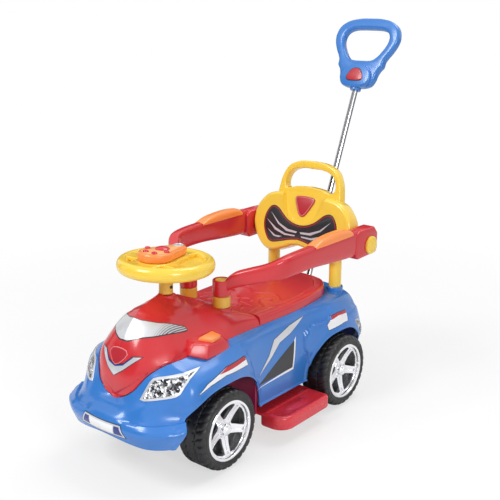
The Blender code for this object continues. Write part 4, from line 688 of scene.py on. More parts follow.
hood = walled(tidy_faces(hood_surface("hood")), COVER_WALL)
COLUMN = at(0, -9.5, 386) @ Matrix.Rotation(radians(-2.5), 4, "X")
mount = turn_to(turned("mount", [(6.6, -87), (6.6, -58.6), (14.6, -58.6), (16, -60), (16, -87)], 48), COLUMN)
SEAT_PROFILE = [(10.4, 259), (10.4, 280.6), (18.6, 280.6), (18.6, 282), (21, 282), (22, 281), (22, 259)]
seats = turn_to(turned("post seat", SEAT_PROFILE, 48), at(*POST_PLACE))
for sign in (1, -1):
    bore = turned("bore", [(0, 240), (0, 300), (10.4, 300), (10.4, 240)], 32)
    combine(hood, "DIFFERENCE", turn_to(bore, at(sign * POST_PLACE[0], POST_PLACE[1], 0)))
POD = [(82, -52, 238), (100, -58, 240), (122.5, -30, 229.5), (119.5, 38, 227.5), (106, 50, 239), (82, 44, 239),
       (80, -40, 262), (99, -44, 259), (117, -20, 253), (114, 26, 251), (100, 34, 253), (80, 30, 260),
       (84, -44, 225), (84, 40, 225), (112, 30, 222), (112, -26, 224)]
pod = in_edit(ring_of("mirror pod", POD), bpy.ops.mesh.convex_hull)
bevelled(tidy_faces(pod), 2.2, 4, 20)
join(hood, mount, seats, twin(seats, "post seat right"), pod, twin(pod, "mirror pod right"))
done(hood, "car", RED, "red", "hood_cover", angle=30)

LENS = [(94, -26), (90, 16), (110, 20), (114, -6)]
LENS_LEAN = at(90, 0, 258) @ Matrix.Rotation(radians(14), 4, "Y") @ at(-90, 0, -258)
for sign, word in SIDES:
    lens = handed(turn_to(plate("lens", LENS, 250, 266, 1.6, 3), LENS_LEAN), sign)
    lens.name = "mirror_glass_" + word
    done(lens, "car", ORANGE, "orange", "mirror_lens_" + word)


def seat_place(t, v):
    """The seat: 0 is the skirt's foot, 1 the edge, 3 the shoulder, 4 the middle.

    A column before the seam is the foot of the front wall.
    """
    points, into, away = lines_at(max(t, SEAM))
    edge = points[6] + away * HALF_SEAM
    if v <= 1:
        p = edge + into * SKIRT * (1 - v)
    else:
        shoulder = edge + away * 9
        shoulder.z = SEAT_TOP
        bend = edge + away * 2
        bend.z = 255
        inner = shoulder + away * 8
        inner.z = SEAT_TOP
        if v <= 3:
            p = spline([edge, bend, shoulder, inner], v - 1)
        else:
            p = shoulder.lerp(Vector((0, shoulder.y, SEAT_TOP)), v - 3)
    p = Vector((p.x, max(p.y, SEAT_FRONT + HALF_SEAM), p.z))
    if t < SEAM:
        p.z = points[6].z - SKIRT
    return p


SWIRL_HALVES = [
    [(46, 158), (40, 172), (22, 178), (6, 170), (8, 158), (22, 160), (24, 170)],
    [(70, 160), (62, 182), (34, 192), (12, 196), (4, 214), (20, 222), (30, 210)],
    [(82, 170), (74, 200), (50, 216), (40, 236), (56, 246), (66, 232)],
]
SWIRLS = [[(sign * x, y) for x, y in line] for line in SWIRL_HALVES for sign in (-1, 1)]
SWIRLS.append([(-90, 196), (-84, 240), (-58, 268), (-28, 276), (0, 262), (28, 276), (58, 268), (84, 240),
               (90, 196)])
swirl_points = [p for line in SWIRLS for p in run_of([(x, y, 0) for x, y in line], 10)]
CELL = 8
grid = {}
for p in swirl_points:
    grid.setdefault((int(p.x // CELL), int(p.y // CELL)), []).append((p.x, p.y))


def near_swirl(x, y):
    """Distance to the nearest swirl, looked for in the cells around."""
    i, j = int(x // CELL), int(y // CELL)
    cells = [(i + di, j + dj) for di in (-1, 0, 1) for dj in (-1, 0, 1)]
    return min((hypot(x - a, y - b) for cell in cells for a, b in grid.get(cell, [])), default=9)


def seat_relief(x, y, z):
    """A shallow hollow for sitting, the seam round the panel and the raised swirls."""
    if z < 257:
        return 0.0
    rise = -1.6 * ease(95 - abs(x), 0, 50) * ease(y, 150, 200)
    rise += 1.3 * (1 - ease(near_swirl(x, y), 0.9, 2.4))
    border = between([(147, 96), (215, 99), (285, 98), (375, 84), (400, 66), (426, 40)], y)
    rise -= 1.2 * (1 - ease(abs(abs(x) - border + 8), 0.6, 2.0))
    return rise


seat_columns = [SEAM - 1] + steps_between(SEAM, 11, .028) + steps_between(11, TAIL, .07) + [TAIL]
seat_rows = [0, 0.5] + steps_between(1, 3, .2) + steps_between(3, 4, .018) + [4]
seat = pressed(skin("seat", seat_columns, seat_rows, seat_place), seat_relief)
walled(tidy_faces(mirrored(seat)), COVER_WALL)
done(seat, "seat_lid", RED, "red", "seat_lid", angle=32)


# ---------------- stickers
REACH = 400  # further than any sticker lies from the origin


def sticker(name, surface, outline, way, lift, thick, mat, slot):
    """A thin film that follows a surface, cut to an outline seen along a direction."""
    film = walled(pressed(copy_of(surface, name), lambda x, y, z: lift), thick, 1)
    back = Vector(way).normalized()
    across = Vector((0, 0, 1)).cross(back)
    if across.length < 0.1:
        across = Vector((1, 0, 0))
    across.normalize()
    place = Matrix((across, back.cross(across), back)).transposed().to_4x4()
    cutter = turn_to(plate("outline", outline, -REACH, REACH), place)
    half = plate("front", [(-REACH, -REACH), (REACH, -REACH), (REACH, REACH), (-REACH, REACH)], 0, 500)
    combine(cutter, "INTERSECT", turn_to(half, place))
    combine(film, "INTERSECT", cutter)
    return done(film, "car", mat, slot, angle=30)


side = body_surface("side surface", 3.2, 13.4, steps_between(1, 6, .14) + [6])
nose = mirrored(body_surface("nose surface", 0, 3.2, steps_between(0, 5, .14) + [5]))
cheek = body_surface("cheek surface", 0.6, 5.2, steps_between(1, 6, .14) + [6])
tail = body_surface("tail surface", 11.1, 12.9, steps_between(1.2, 5.2, .14) + [5.2])
bonnet = hood_surface("bonnet surface", 0, 6)
LEFT, AHEAD, ABOVE, OBLIQUE, REARWARD = (1, 0, 0), (0, -1, 0), (0, 0, 1), (.6, -.8, 0), (.8, .6, 0)

STRIPE = [(-79, 182), (-49, 190), (-5, 196), (70, 190), (62, 209), (1, 209), (-56, 194)]
STRIPE_RED = [(-22, 202), (-6, 202), (64, 202), (62, 209), (1, 209)]
DART = [(119, 143), (164, 170), (192, 193), (227, 203), (278, 226), (227, 219), (175, 204), (156, 175)]
DARK_TRIANGLE = [(118, 123), (232, 126), (239, 184)]
TRIANGLE_EDGE = [(109, 117), (236, 121), (244, 192), (238, 184), (231, 127)]
REAR_FILM = [(334, 184), (385, 189), (434, 187), (461, 184), (456, 200), (428, 208), (400, 211), (369, 213),
             (350, 211), (331, 196)]
REAR_RED = [(344, 204), (369, 208), (400, 206), (428, 203), (457, 196)] + REAR_FILM[4:9]
TAIL_LAMP = [(262, 178), (275, 175), (288, 163), (298, 147), (300, 132), (291, 132), (281, 144), (269, 162)]
HEADLAMP = [(-39, 176), (-22, 206), (-15, 213), (-5, 216), (32, 219), (67, 221), (51, 209), (42, 197), (35, 187),
            (28, 183), (18, 181), (-31, 174.5)]
BAND_TOP = [(0, -98), (20, -92), (43, -76), (55, -50), (61, -29), (66, -25)]
BAND_LOW = [(67, -32), (64, -66), (53, -93), (32, -115), (13, -125), (0, -127)]
CHEVRON = [(0, 207), (21, 221), (50, 246), (34, 245), (19, 231), (0, 226)]
CHEVRON_BLUE = [(0, 223.5), (19, 228.5), (36, 245), (33, 245), (18, 231), (0, 226)]
SHIELD = [(0, 228), (8, 231), (18, 241), (21, 247), (17, 252), (8, 254), (0, 254.5)]
PLATE = [(0, 109), (58, 109), (47, 131), (0, 131)]
PLATE_WHITE = [(0, 112), (30, 112), (31, 128), (0, 128)]
PLATE_END = [(32.5, 112), (53, 112), (45, 128), (33.5, 128)]
BAND = flat_run(BAND_TOP, 6) + flat_run(BAND_LOW, 6)
INK_EDGE = (.05, .15, INK, "black")
FILM, UPPER_FILM = (.1, .25), (.1, .4)


def side_sticker(name, outline, lift, thick, mat, slot, surface=None, way=LEFT):
    left = sticker(name + "_left", surface or side, outline, way, lift, thick, mat, slot)
    done(twin(left, name + "_right"), "car", mat, slot, shift=False, angle=30)


side_sticker("fender_stripe_edge", offset(STRIPE, 1.3), *INK_EDGE)
side_sticker("fender_stripe", STRIPE, *FILM, WHITE, "silver")
side_sticker("fender_stripe_red", STRIPE_RED, *UPPER_FILM, RED_INK, "red")
side_sticker("door_dart_edge", offset(DART, 1.2), *INK_EDGE)
side_sticker("door_dart", DART, *FILM, SILVER, "silver")
side_sticker("door_triangle_edge", TRIANGLE_EDGE, .05, .2, WHITE, "silver")
side_sticker("door_triangle", DARK_TRIANGLE, *FILM, INK, "black")
side_sticker("rear_film_edge", offset(REAR_FILM, 1.2), *INK_EDGE)
side_sticker("rear_film", REAR_FILM, *FILM, WHITE, "silver")
side_sticker("rear_film_red", REAR_RED, *UPPER_FILM, RED_INK, "red")
side_sticker("tail_lamp_edge", offset(TAIL_LAMP, 1.6), .05, .7, SILVER, "silver", tail, REARWARD)
side_sticker("tail_lamp", TAIL_LAMP, .1, 1.1, FACETS, "silver", tail, REARWARD)
side_sticker("headlamp_edge", HEADLAMP, .1, 1.2, SILVER, "silver", cheek, OBLIQUE)
side_sticker("headlamp_bowl", offset(HEADLAMP, -4), .1, 1.4, FACETS, "silver", cheek, OBLIQUE)
sticker("hood_band_edge", bonnet, offset(symmetric(BAND), 1.3), ABOVE, *INK_EDGE)
sticker("hood_band", bonnet, symmetric(BAND), ABOVE, *FILM, HATCHED, "silver")
sticker("hood_chevron_edge", bonnet, offset(symmetric(CHEVRON), 1.4), AHEAD, *INK_EDGE)
sticker("hood_chevron", bonnet, symmetric(CHEVRON), AHEAD, *FILM, SILVER, "silver")
sticker("hood_chevron_blue", bonnet, symmetric(CHEVRON_BLUE), AHEAD, *UPPER_FILM, BLUE_INK, "blue")
sticker("hood_shield_edge", bonnet, offset(symmetric(SHIELD), 1.4), AHEAD, .1, .5, PALE_RED, "red")
sticker("hood_shield", bonnet, symmetric(SHIELD), AHEAD, .1, .8, RED_INK, "red")
sticker("bumper_plate_edge", nose, offset(symmetric(PLATE), 1.3), AHEAD, .05, .3, INK, "black")
sticker("bumper_plate", nose, symmetric(PLATE), AHEAD, .1, .5, SILVER, "silver")
sticker("bumper_plate_white", nose, symmetric(PLATE_WHITE), AHEAD, .1, .7, WHITE, "silver")
sticker("bumper_plate_end_left", nose, PLATE_END, AHEAD, .1, .7, BLUE_INK, "blue")
sticker("bumper_plate_end_right", nose, [(-x, z) for x, z in PLATE_END], AHEAD, .1, .7, BLUE_INK, "blue")
for spare in (side, nose, cheek, tail, bonnet):
    bpy.data.objects.remove(spare, do_unlink=True)


# ---------------- wheels
TREAD_BLOCKS, TREAD_DEPTH, SHOULDER = 30, 2.3, 72.2


def tread(obj):
    """Blocks across the tread and bars on the shoulders."""
    for v in obj.data.vertices:
        x, y, z = v.co / MM
        radius, turn = hypot(x, y), atan2(y, x)
        if radius < SHOULDER:
            continue
        phase = (turn / (2 * pi) * TREAD_BLOCKS + abs(z) * 0.03) % 1
        groove = (1 - ease(abs(phase - 0.5), 0.10, 0.17)) * ease(abs(z), 5, 8)
        groove = max(groove, 1 - ease(abs(abs(z) - 12), 1.0, 2.2))
        scale = 1 - TREAD_DEPTH * groove / radius
        v.co.x *= scale
        v.co.y *= scale
    obj.data.update()
    return obj


tyre_profile = [(57.4, 29.7), (61.2, 30.2), (61.4, 33), (63, 33.4), (66, 33.4), (67, 34.2), (69, 34.2), (70, 33.2)]
tyre_profile += [(72.5, 33)]
tyre_profile += [(75, 32.2), (77, 30.5), (78.6, 28), (79.5, 25), (80, 22)]
TREAD_HEIGHTS = (19, 16, 14, 13, 12, 11, 10, 8, 6, 3)
tyre_profile += [(80, z) for z in (*TREAD_HEIGHTS, 0, *(-z for z in reversed(TREAD_HEIGHTS)))]
tyre_profile += [(80, -22), (79.5, -25), (78, -28.5), (76, -31), (73, -33), (62, -33), (57.4, -33)]
tyre = tread(turned("tyre", tyre_profile, 210))

rim_profile = [(54.2, 27), (54.2, 31.5), (55, 33.3), (57, 34), (59.5, 33.8), (60.8, 32.6), (61, 30.4),
               (57.1, 30.4), (57.1, -31.5), (54.2, -31.5), (54.2, 20)]
rim = turned("rim", rim_profile, 96)
star_profile = [(5.6, -31), (5.6, 18.9), (13, 18.9), (13.6, 17.4), (20, 17.8), (34, 20.4), (46, 24.2), (54.6, 27),
                (54.6, 20.6), (46, 18), (34, 14.2), (20, 11.8), (13, 11), (13, -31)]
star = turned("star", star_profile, 120)
cuts = []
# the window between two spokes, as radius and angle from its middle
WINDOW = ((21, .16), (30, .33), (40, .43), (50.5, .47), (51.8, .3), (52.2, .0), (51.8, -.3), (50.5, -.47),
          (40, -.43), (30, -.33), (21, -.16), (19.6, 0))
GROOVE_EDGE = ((17, -.9), (44, -1.5), (51, -3.6), (51, 3.6), (44, 1.5), (17, .9))
SPOKES = 5
for k in range(SPOKES):
    a = 2 * pi * (k + 0.5) / SPOKES
    window = [(radius * cos(a - half), radius * sin(a - half)) for radius, half in WINDOW]
    cuts.append(plate("window", window, 4, 40, 1.2, 2))
    b = 2 * pi * k / SPOKES
    groove = plate("groove", [(r * cos(b) - w * sin(b), r * sin(b) + w * cos(b)) for r, w in GROOVE_EDGE], 16.5, 40)
    for v in groove.data.vertices:
        if v.co.z < 0.03:
            v.co.z += max(hypot(v.co.x, v.co.y) - 0.020, 0) * 0.21
    cuts.append(groove)
    for turn in (b - .52, b + .52):
        hole = turned("hole", [(0, 15), (0, 30), (1.5, 30), (1.5, 15)], 10)
        cuts.append(turn_to(hole, at(16.6 * cos(turn), 16.6 * sin(turn), 0)))
combine(star, "DIFFERENCE", *cuts)
bevelled(star, 0.5, 2, 40)
join(rim, star)
well = turned("rim well", [(13.3, 2), (13.3, 6), (53.8, 10), (53.8, 6)], 64)
cap = turned("hub cap", [(0, 28), (6, 27.9), (8.6, 27.5), (10.6, 26.3), (11.8, 24.2), (12.2, 21.5), (12.2, 19.3),
                         (10.8, 19.3), (10.8, 24.5), (0, 26)], 64)
join(cap, turned("hub ring", [(4.4, 27.6), (4.4, 28.6), (5.0, 28.9), (6.0, 28.8), (6.6, 28.2), (6.6, 27.4)], 48))
LAY = {1: Matrix.Rotation(pi / 2, 4, "Y"), -1: Matrix.Rotation(-pi / 2, 4, "Y")}
for end, y, track in (("front", 0, 117.7), ("rear", WHEELBASE, 132.6)):
    for sign, word in SIDES:
        wheel = end + "_" + word
        for master, piece, mat, slot, nodes in ((tyre, "_tread", TYRE, "tyre", [wheel + "_tyre"]),
                                                (rim, "_star", RIM, "chrome", [wheel + "_rim"]),
                                                (well, "_well", BLACK, "black", []),
                                                (cap, "_cap", CHROME, "chrome", [wheel + "_hub_cap"])):
            part = turn_to(copy_of(master, wheel + piece), at(sign * track, y, WHEEL_RADIUS) @ LAY[sign])
            done(part, wheel + "_wheel", mat, slot, *nodes, angle=35)
for master in (tyre, rim, well, cap):
    bpy.data.objects.remove(master, do_unlink=True)


# ---------------- steering wheel
def on_column(obj, name, mat, slot, *nodes, body="steering", angle=40):
    obj.name = name
    return done(turn_to(obj, COLUMN), body, mat, slot, *nodes, angle=angle)


# the two round ends of the sound console: radius and place along its middle line
BIG, SMALL = (34, -28), (16, 34)


def console_outline(extra, steps=24):
    lean = asin((BIG[0] - SMALL[0]) / (SMALL[1] - BIG[1]))
    outline = []
    for (radius, centre), start, sweep, count in ((BIG, -pi - lean, pi + 2 * lean, 2 * steps),
                                                  (SMALL, lean, pi - 2 * lean, steps)):
        for k in range(count + 1):
            a = start + sweep * k / count
            outline.append(((radius + extra) * cos(a), centre + (radius + extra) * sin(a)))
    return outline


ring = turned("ring", [(82.5 + 12 * cos(2 * pi * k / 24), 14 * sin(2 * pi * k / 24)) for k in range(24)], 128)
dish = plate("dish", console_outline(4), 3.5, 13.1, 2.5, 3)
WIDE_SPOKE = [(0, -42), (76, -44), (76, -14), (0, -14)]
SPOKE_OUTLINES = ([(-30, -82), (30, -82), (34, -40), (-34, -40)], WIDE_SPOKE, [(-x, y) for x, y in WIDE_SPOKE],
                  [(-12, 40), (12, 40), (15, 80), (-15, 80)])
spokes = [plate("spoke", outline, 3.5, 12.4, 3, 3) for outline in SPOKE_OUTLINES]
spokes.append(turned("web", [(0, 0), (74, 0), (78, 1.5), (78, 4), (0, 5.5)], 96))
hub = turned("hub", [(6.4, -12.5), (18, -12.5), (20, -10.5), (20, 5), (6.4, 5)], 48)
combine(ring, "UNION", dish, *spokes, hub)
on_column(ring, "steering_ring", YELLOW, "yellow", "steering_wheel", angle=35)

CONSOLE_TOP = 31.0
console = plate("console", console_outline(0), 13.5, CONSOLE_TOP, 5.5, 6)
# the console's flat top: a paler plate that is a painted highlight
face = plate("face", offset(console_outline(0), -6.5), CONSOLE_TOP - .3, CONSOLE_TOP + .6, .4, 2)
on_column(console, "console_case", ORANGE, "orange", "sound_console")
on_column(face, "console_top_painted_highlight", ORANGE_PAINTED_HIGHLIGHT, "orange")
horn_profile = [(0, 28), (14.2, 28), (14.2, 32.2), (13.4, 33), (12.9, 33.4)] + arc(0, 11.2, 26, 62, 90, 8)
horn = turned("horn", horn_profile, 64)
on_column(turn_to(horn, at(0, -10, 0)), "horn_dome", RED, "red", "horn_button", body="horn_button")
for k, (x, y) in enumerate(((-23.5, -26), (-7, -47), (14.5, -46), (23.2, -22.5))):
    button = turned("button", [(0, 29), (5.4, 29), (5.4, 33), (5.0, 33.9), (4.2, 34.5), (2.4, 35), (0, 35.1)], 40)
    node = "melody_button_%d" % (k + 1)
    on_column(turn_to(button, at(x, y, 0)), "melody_cap_%d" % (k + 1), RED, "red", node, body=node)
speaker = turned("speaker", [(0, 31.2), (9.9, 31.2), (9.9, 32.6), (9.2, 33), (8.2, 33), (7.8, 32.4), (0, 32.4)], 64)
holes = []
for radius, count in ((0, 1), (3, 6), (5.9, 12)):
    for k in range(count):
        a = 2 * pi * k / count
        hole = turned("hole", [(0, 31.8), (0, 34), (.75, 34), (.75, 31.8)], 8)
        holes.append(turn_to(hole, at(radius * cos(a), radius * sin(a), 0)))
combine(speaker, "DIFFERENCE", *holes)
on_column(turn_to(speaker, at(0, 34, 0)), "speaker_grille", SILVER, "silver", "speaker_disc")
sleeve = turned("sleeve", [(11, -57), (13.2, -57), (14, -56), (14, -54), (13.6, -53), (13.6, -16), (14, -14),
                           (14, -12.8), (11, -12.8)], 64)
on_column(sleeve, "column_tube", AMBER, "yellow", "column_sleeve")
screw = turned("screw", [(0, 11.5), (3, 11.5), (3, 14.8), (2.4, 15.8), (1.2, 16), (1.0, 15.2), (0, 15.1)], 24)
turn_to(screw, at(0, 0, -43) @ LAY[1])
on_column(screw, "column_screw_head", BLACK, "black", "column_screw")


# ---------------- posts, guard arms and pads
ARM_TOP, ARM_HALF, PAD_MIDDLE, PAD_FOOT = 394, 11.5, 153, 387
# the guard arm: X, Y, depth of its upper edge below ARM_TOP, height
ARM_PATH = [(49, 101, 58, 26), (70, 110, 40, 32), (95, 123, 30, 33), (125, 142, 20, 35), (145, 165, 9, 42),
            (151, 198, 4, 44), (153, 255, 2, 46), (153, 320, 1, 52), (153, 380, 0, 57), (153, 412, 0, 56)]
arm_run = run_of([Vector(p) for p in ARM_PATH], 10)


def arm_place(k, turn):
    p = arm_run[k]
    ahead, behind = arm_run[min(k + 1, len(arm_run) - 1)], arm_run[max(k - 1, 0)]
    way = Vector((ahead[0] - behind[0], ahead[1] - behind[1])).normalized()
    high = ARM_TOP - p[2]
    half_high, middle = p[3] / 2, high - p[3] / 2
    c, s = cos(turn), sin(turn)
    across = ARM_HALF * power(c, .5)
    up = half_high * power(s, .42)
    return p[0] + way.y * across, p[1] - way.x * across, middle + up


# the pad: Y, height of its top, half width
PAD_LINE = [(252, 391, 12.9), (258, 394, 13.3), (276, 400, 13.6), (300, 403, 13.7), (328, 404.5, 13.8),
            (355, 404, 13.8), (378, 401, 13.6), (387, 396, 13.2), (390, 392, 12.8)]


def pad_place(u, v):
    p = spline(PAD_LINE, u * (len(PAD_LINE) - 1))
    a = pi * v
    c, s = cos(a), sin(a)
    return PAD_MIDDLE + p[2] * power(c, .55), p[0], PAD_FOOT + (p[1] - PAD_FOOT) * abs(s) ** .62


for sign, word in SIDES:
    post = turned("post", [(0, 259), (9.8, 259), (9.8, 281), (16.6, 281), (18, 282.4), (18, 302.6), (16.6, 304),
                           (14, 304), (12.9, 336), (12.2, 337.2), (9.4, 337.4), (9, 336.6), (7, 336.6),
                           (6.6, 337.4), (4.4, 337.4), (4, 336.6), (0, 336.6)], 64)
    turn_to(post, at(*POST_PLACE))
    post.name = "post_" + word
    done(handed(post, sign), "car", AMBER, "yellow", "front_post_" + word)

    arm = skin("arm", list(range(len(arm_run))), [2 * pi * k / 40 for k in range(41)], arm_place)
    closed(tidy_faces(arm))
    cuff = turned("cuff", [(0, 304.8), (16.8, 304.8), (18.2, 306.2), (18.2, 336.4), (16.8, 338), (0, 338)], 64)
    turn_to(cuff, at(*POST_PLACE))
    block = sideways("block", [(402, 338), (410, 328), (482, 330), (488, 340), (488, 375), (474, 391), (414, 391),
                               (402, 383)], 135.6, 166.4, 3.5, 4)
    peg = turned("peg", [(0, 290), (15.8, 290), (15.8, 350), (0, 350)], 64)
    turn_to(peg, at(*POST_PLACE))
    pivot = turn_to(turned("pivot", [(0, -40), (8.5, -40), (8.5, 40), (0, 40)], 32),
                    at(151, *PIVOT_PLACE[1:]) @ LAY[1])
    combine(arm, "UNION", cuff, block)
    combine(arm, "DIFFERENCE", peg, pivot)
    arm.name = "arm_" + word
    done(handed(arm, sign), "guard_arm_" + word, RED, "red", "guard_arm_" + word, angle=35)

    pad = skin("pad", [k / 36 for k in range(37)], [k / 28 for k in range(29)], pad_place)
    closed(tidy_faces(pad))
    pad.name = "pad_" + word
    done(handed(pad, sign), "guard_arm_" + word, ORANGE, "orange", "arm_pad_" + word, angle=50)

    button = turned("cap", [(0, 31.3), (20, 31.3), (20, 34.4), (19.4, 36), (17.6, 37.1), (14, 37.4), (13.4, 36.7),
                            (11.6, 36.7), (11, 37.5), (6, 38), (0, 38.1)], 72)
    turn_to(button, at(135.5, *PIVOT_PLACE[1:]) @ LAY[1])
    button.name = "pivot_disc_" + word
    done(handed(button, sign), "guard_arm_" + word, YELLOW, "yellow", "pivot_cap_" + word)


# ---------------- backrest
LEAN = at(0, 405, 297) @ Matrix.Rotation(radians(-12), 4, "X")
BACK_HALF = [(0, 34), (20, 31), (36, 24), (71, 12), (98, 18), (120, 40), (132.5, 66), (134, 86), (128.5, 110),
             (114, 131), (95, 145), (60, 152), (0, 154)]
GRIP_HALF = [(88, 132), (85, 158), (79, 188), (64, 213), (36, 226), (0, 229)]
HOLE_HALF = [(0, 171), (34, 168), (58, 162), (68, 170), (65, 190), (52, 204), (28, 211), (0, 211)]
PANEL_HALF = [(0, 48), (24, 44), (44, 38), (74, 32), (90, 44), (100, 68), (99, 92), (88, 112), (76, 117), (62, 112),
              (48, 100), (34, 90), (16, 83), (0, 81)]
VALLEY_HALF = [(0, 84), (16, 87), (34, 100), (48, 120), (58, 148), (60, 165), (0, 170)]
BADGE_HALF = [(0, -25), (8, -21), (19, -3), (26, 14), (22, 21), (0, 23)]
VALLEY_SLOPE, VALLEY_BOTTOM = 0.16, 86

back = facing("back", both_halves(BACK_HALF, 6), 0, 42, 9, 5)
grip = facing("grip", both_halves(GRIP_HALF, 6), 18, 42)
combine(grip, "DIFFERENCE", facing("hole", both_halves(HOLE_HALF, 6), 0, 60))
bevelled(grip, 6.5, 4, 50)
combine(back, "UNION", grip)
valley = facing("valley", both_halves(VALLEY_HALF, 4), -60, 2)
for v in valley.data.vertices:
    if v.co.y > 0:
        v.co.y += (v.co.z - VALLEY_BOTTOM * MM) * VALLEY_SLOPE
hollow = facing("hollow", offset(both_halves(PANEL_HALF, 4), .4), -20, 1.6)
combine(back, "DIFFERENCE", valley, hollow)
turn_to(back, LEAN)
legs = []
for sign in (1, -1):
    leg = turned("leg", [(0, 224), (13, 224), (14, 225), (14, 330), (0, 330)], 64)
    legs.append(turn_to(leg, at(sign * LEG_PLACE[0], LEG_PLACE[1], 0)))
    ear = turned("ear", [(0, 100), (18, 100), (18, 132), (16, 134.4), (0, 134.4)], 64)
    pin = turned("pin", [(0, 120), (8, 120), (8, 165), (0, 165)], 48)
    at_pivot = at(*PIVOT_PLACE) @ LAY[sign]
    legs += [turn_to(ear, at_pivot), turn_to(pin, at_pivot)]
combine(back, "UNION", *legs)
back.name = "backrest_shell"
done(back, "car", YELLOW, "yellow", "backrest", angle=35)


def on_back(obj, name, mat, slot, *nodes, angle=40):
    obj.name = name
    return done(turn_to(obj, LEAN), "car", mat, slot, *nodes, angle=angle)


panel_outline = both_halves(PANEL_HALF, 4)
on_back(facing("panel", panel_outline, -.4, 1.4, .3, 2), "back_panel", INK, "black", "backrest_panel")
border = facing("border", offset(panel_outline, -2.4), -.75, -.2)
combine(border, "DIFFERENCE", facing("inner", offset(panel_outline, -4.0), -2, 1))
on_back(border, "back_panel_line", RED_INK, "red")
FLAMES = [
    [(4, 66), (30, 68), (56, 78), (84, 101), (60, 76), (34, 63), (6, 62)],
    [(8, 57), (36, 57), (64, 66), (94, 84), (66, 61), (38, 53), (10, 54)],
    [(44, 49), (64, 49), (88, 61), (68, 46), (54, 45)],
]
for k, flame in enumerate(FLAMES):
    for sign, word in SIDES:
        piece = facing("flame", [(sign * x, v) for x, v in flame], -.8, -.2)
        on_back(piece, "back_flame_%d_%s" % (k + 1, word), SILVER, "silver")
slope = at(0, 2 + (125 - VALLEY_BOTTOM) * VALLEY_SLOPE, 125) @ Matrix.Rotation(-atan(VALLEY_SLOPE), 4, "X")
badge_outline = both_halves(BADGE_HALF, 6)
badge = turn_to(facing("badge", badge_outline, -2.8, -.3, .9, 3), slope)
on_back(badge, "back_badge", RED_INK, "red", "backrest_badge")
line = facing("line", offset(badge_outline, -2.2), -3.2, -2.6)
combine(line, "DIFFERENCE", facing("inner", offset(badge_outline, -3.4), -5, 0))
on_back(turn_to(line, slope), "back_badge_line", PALE_RED, "red")


# ---------------- push rod and handle
ROD = at(0, 467, 259) @ Matrix.Rotation(radians(-22.9), 4, "X")


def on_rod(obj, name, mat, slot, *nodes, lift=425.5, angle=40):
    obj.name = name
    return done(turn_to(obj, ROD @ at(0, 0, lift)), "car", mat, slot, *nodes, angle=angle)


tube = turned("tube", [(0, -86.7), (6, -86.7), (6.6, -86), (6.6, 475), (6, 475.5), (0, 475.5)], 64)
# the tube's material carries painted reflection streaks
on_rod(tube, "rod_tube", TUBE_WITH_PAINTED_REFLECTIONS, "chrome", "push_rod", lift=0)
HANDLE_HALF = [(0, 18), (22, 19), (39, 25), (47, 38), (50, 52), (54, 62), (61, 72), (62, 84), (67, 95), (76, 109),
               (84, 127), (86, 146), (78, 167), (57, 181), (29, 187), (0, 188)]
LOOP_HALF = [(0, 84), (24, 85), (38, 92), (50, 107), (60, 126), (61, 143), (53, 155), (34, 161), (0, 162)]
handle = facing("handle", both_halves(HANDLE_HALF, 6), -10.5, 10.5)
combine(handle, "DIFFERENCE", facing("loop", both_halves(LOOP_HALF, 6), -50, 50))
bevelled(handle, 6.5, 5, 50)
boss_half = [(0, 17), (24, 19), (38, 30), (41, 46), (33, 62), (16, 72), (0, 74)]
boss = facing("boss", both_halves(boss_half, 6), -18, 0, 4.5, 4)
collar = turned("collar", [(6.3, 12), (11.6, 12), (13, 13.6), (13, 50), (6.3, 50)], 48)
join(handle, boss, collar)
on_rod(handle, "handle_grip", BLUE, "blue", "push_handle", angle=35)
BADGE_RUN = both_halves([(0, 32), (15, 33), (21, 37), (20, 44), (13, 56), (6, 60.5), (0, 61)], 6)
on_rod(facing("rim of badge", offset(BADGE_RUN, 1.6), -18.6, -17.6, .3, 2), "handle_badge_edge", INK, "black")
on_rod(facing("badge", BADGE_RUN, -19.8, -17.8, .8, 3), "handle_badge_face", RED_INK, "red", "handle_badge")


# ---------------- footrests
def footrest_outline(inner, grow):
    outer, front, rear = 181 + grow, 130 - grow, 293.5 + grow
    points = [(inner, front)]
    for radius, cy, start in ((34 + grow, front + 34 + grow, -90), (12, rear - 12, 0)):
        points += arc(outer - radius, cy, radius, start, start + 90, 10)
    return points + [(inner, rear)]


for sign, word in SIDES:
    rest = plate("rest", footrest_outline(119, 0), 29, 59, 6.5, 5)
    tray = plate("tray", footrest_outline(130, -9), 57.9, 70, 1, 2)
    combine(rest, "DIFFERENCE", tray)
    ring_points = [(150 + 14 * cos(2 * pi * k / 40), 212 + 34 * sin(2 * pi * k / 40)) for k in range(40)]
    oval = plate("oval", ring_points, 56.6, 58.6, .8, 2)
    combine(rest, "UNION", oval)
    under = plate("under", footrest_outline(100, -3), 20, 54)
    combine(rest, "DIFFERENCE", under)
    tongue = plate("tongue", [(58, 125), (75, 125), (75, 130), (128, 130.5), (128, 293), (75, 293.5), (75, 298.5),
                              (58, 298.5)], 52.4, 57.4)
    combine(rest, "UNION", tongue)
    rest.name = "footrest_top_" + word
    done(handed(rest, sign), "footrest_" + word, FOOT_RED, "red", "footrest_" + word, angle=35)


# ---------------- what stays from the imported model
FINISHES = {"chassis": CRIMSON, "footrest_rail": CRIMSON, "battery": AMBER, "sound_module": BLACK}
for name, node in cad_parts.items():
    if name in replaced:
        continue
    finish = next((mat for word, mat in FINISHES.items() if name.startswith(word)), STEEL)
    node.data.materials.clear()
    node.data.materials.append(finish)


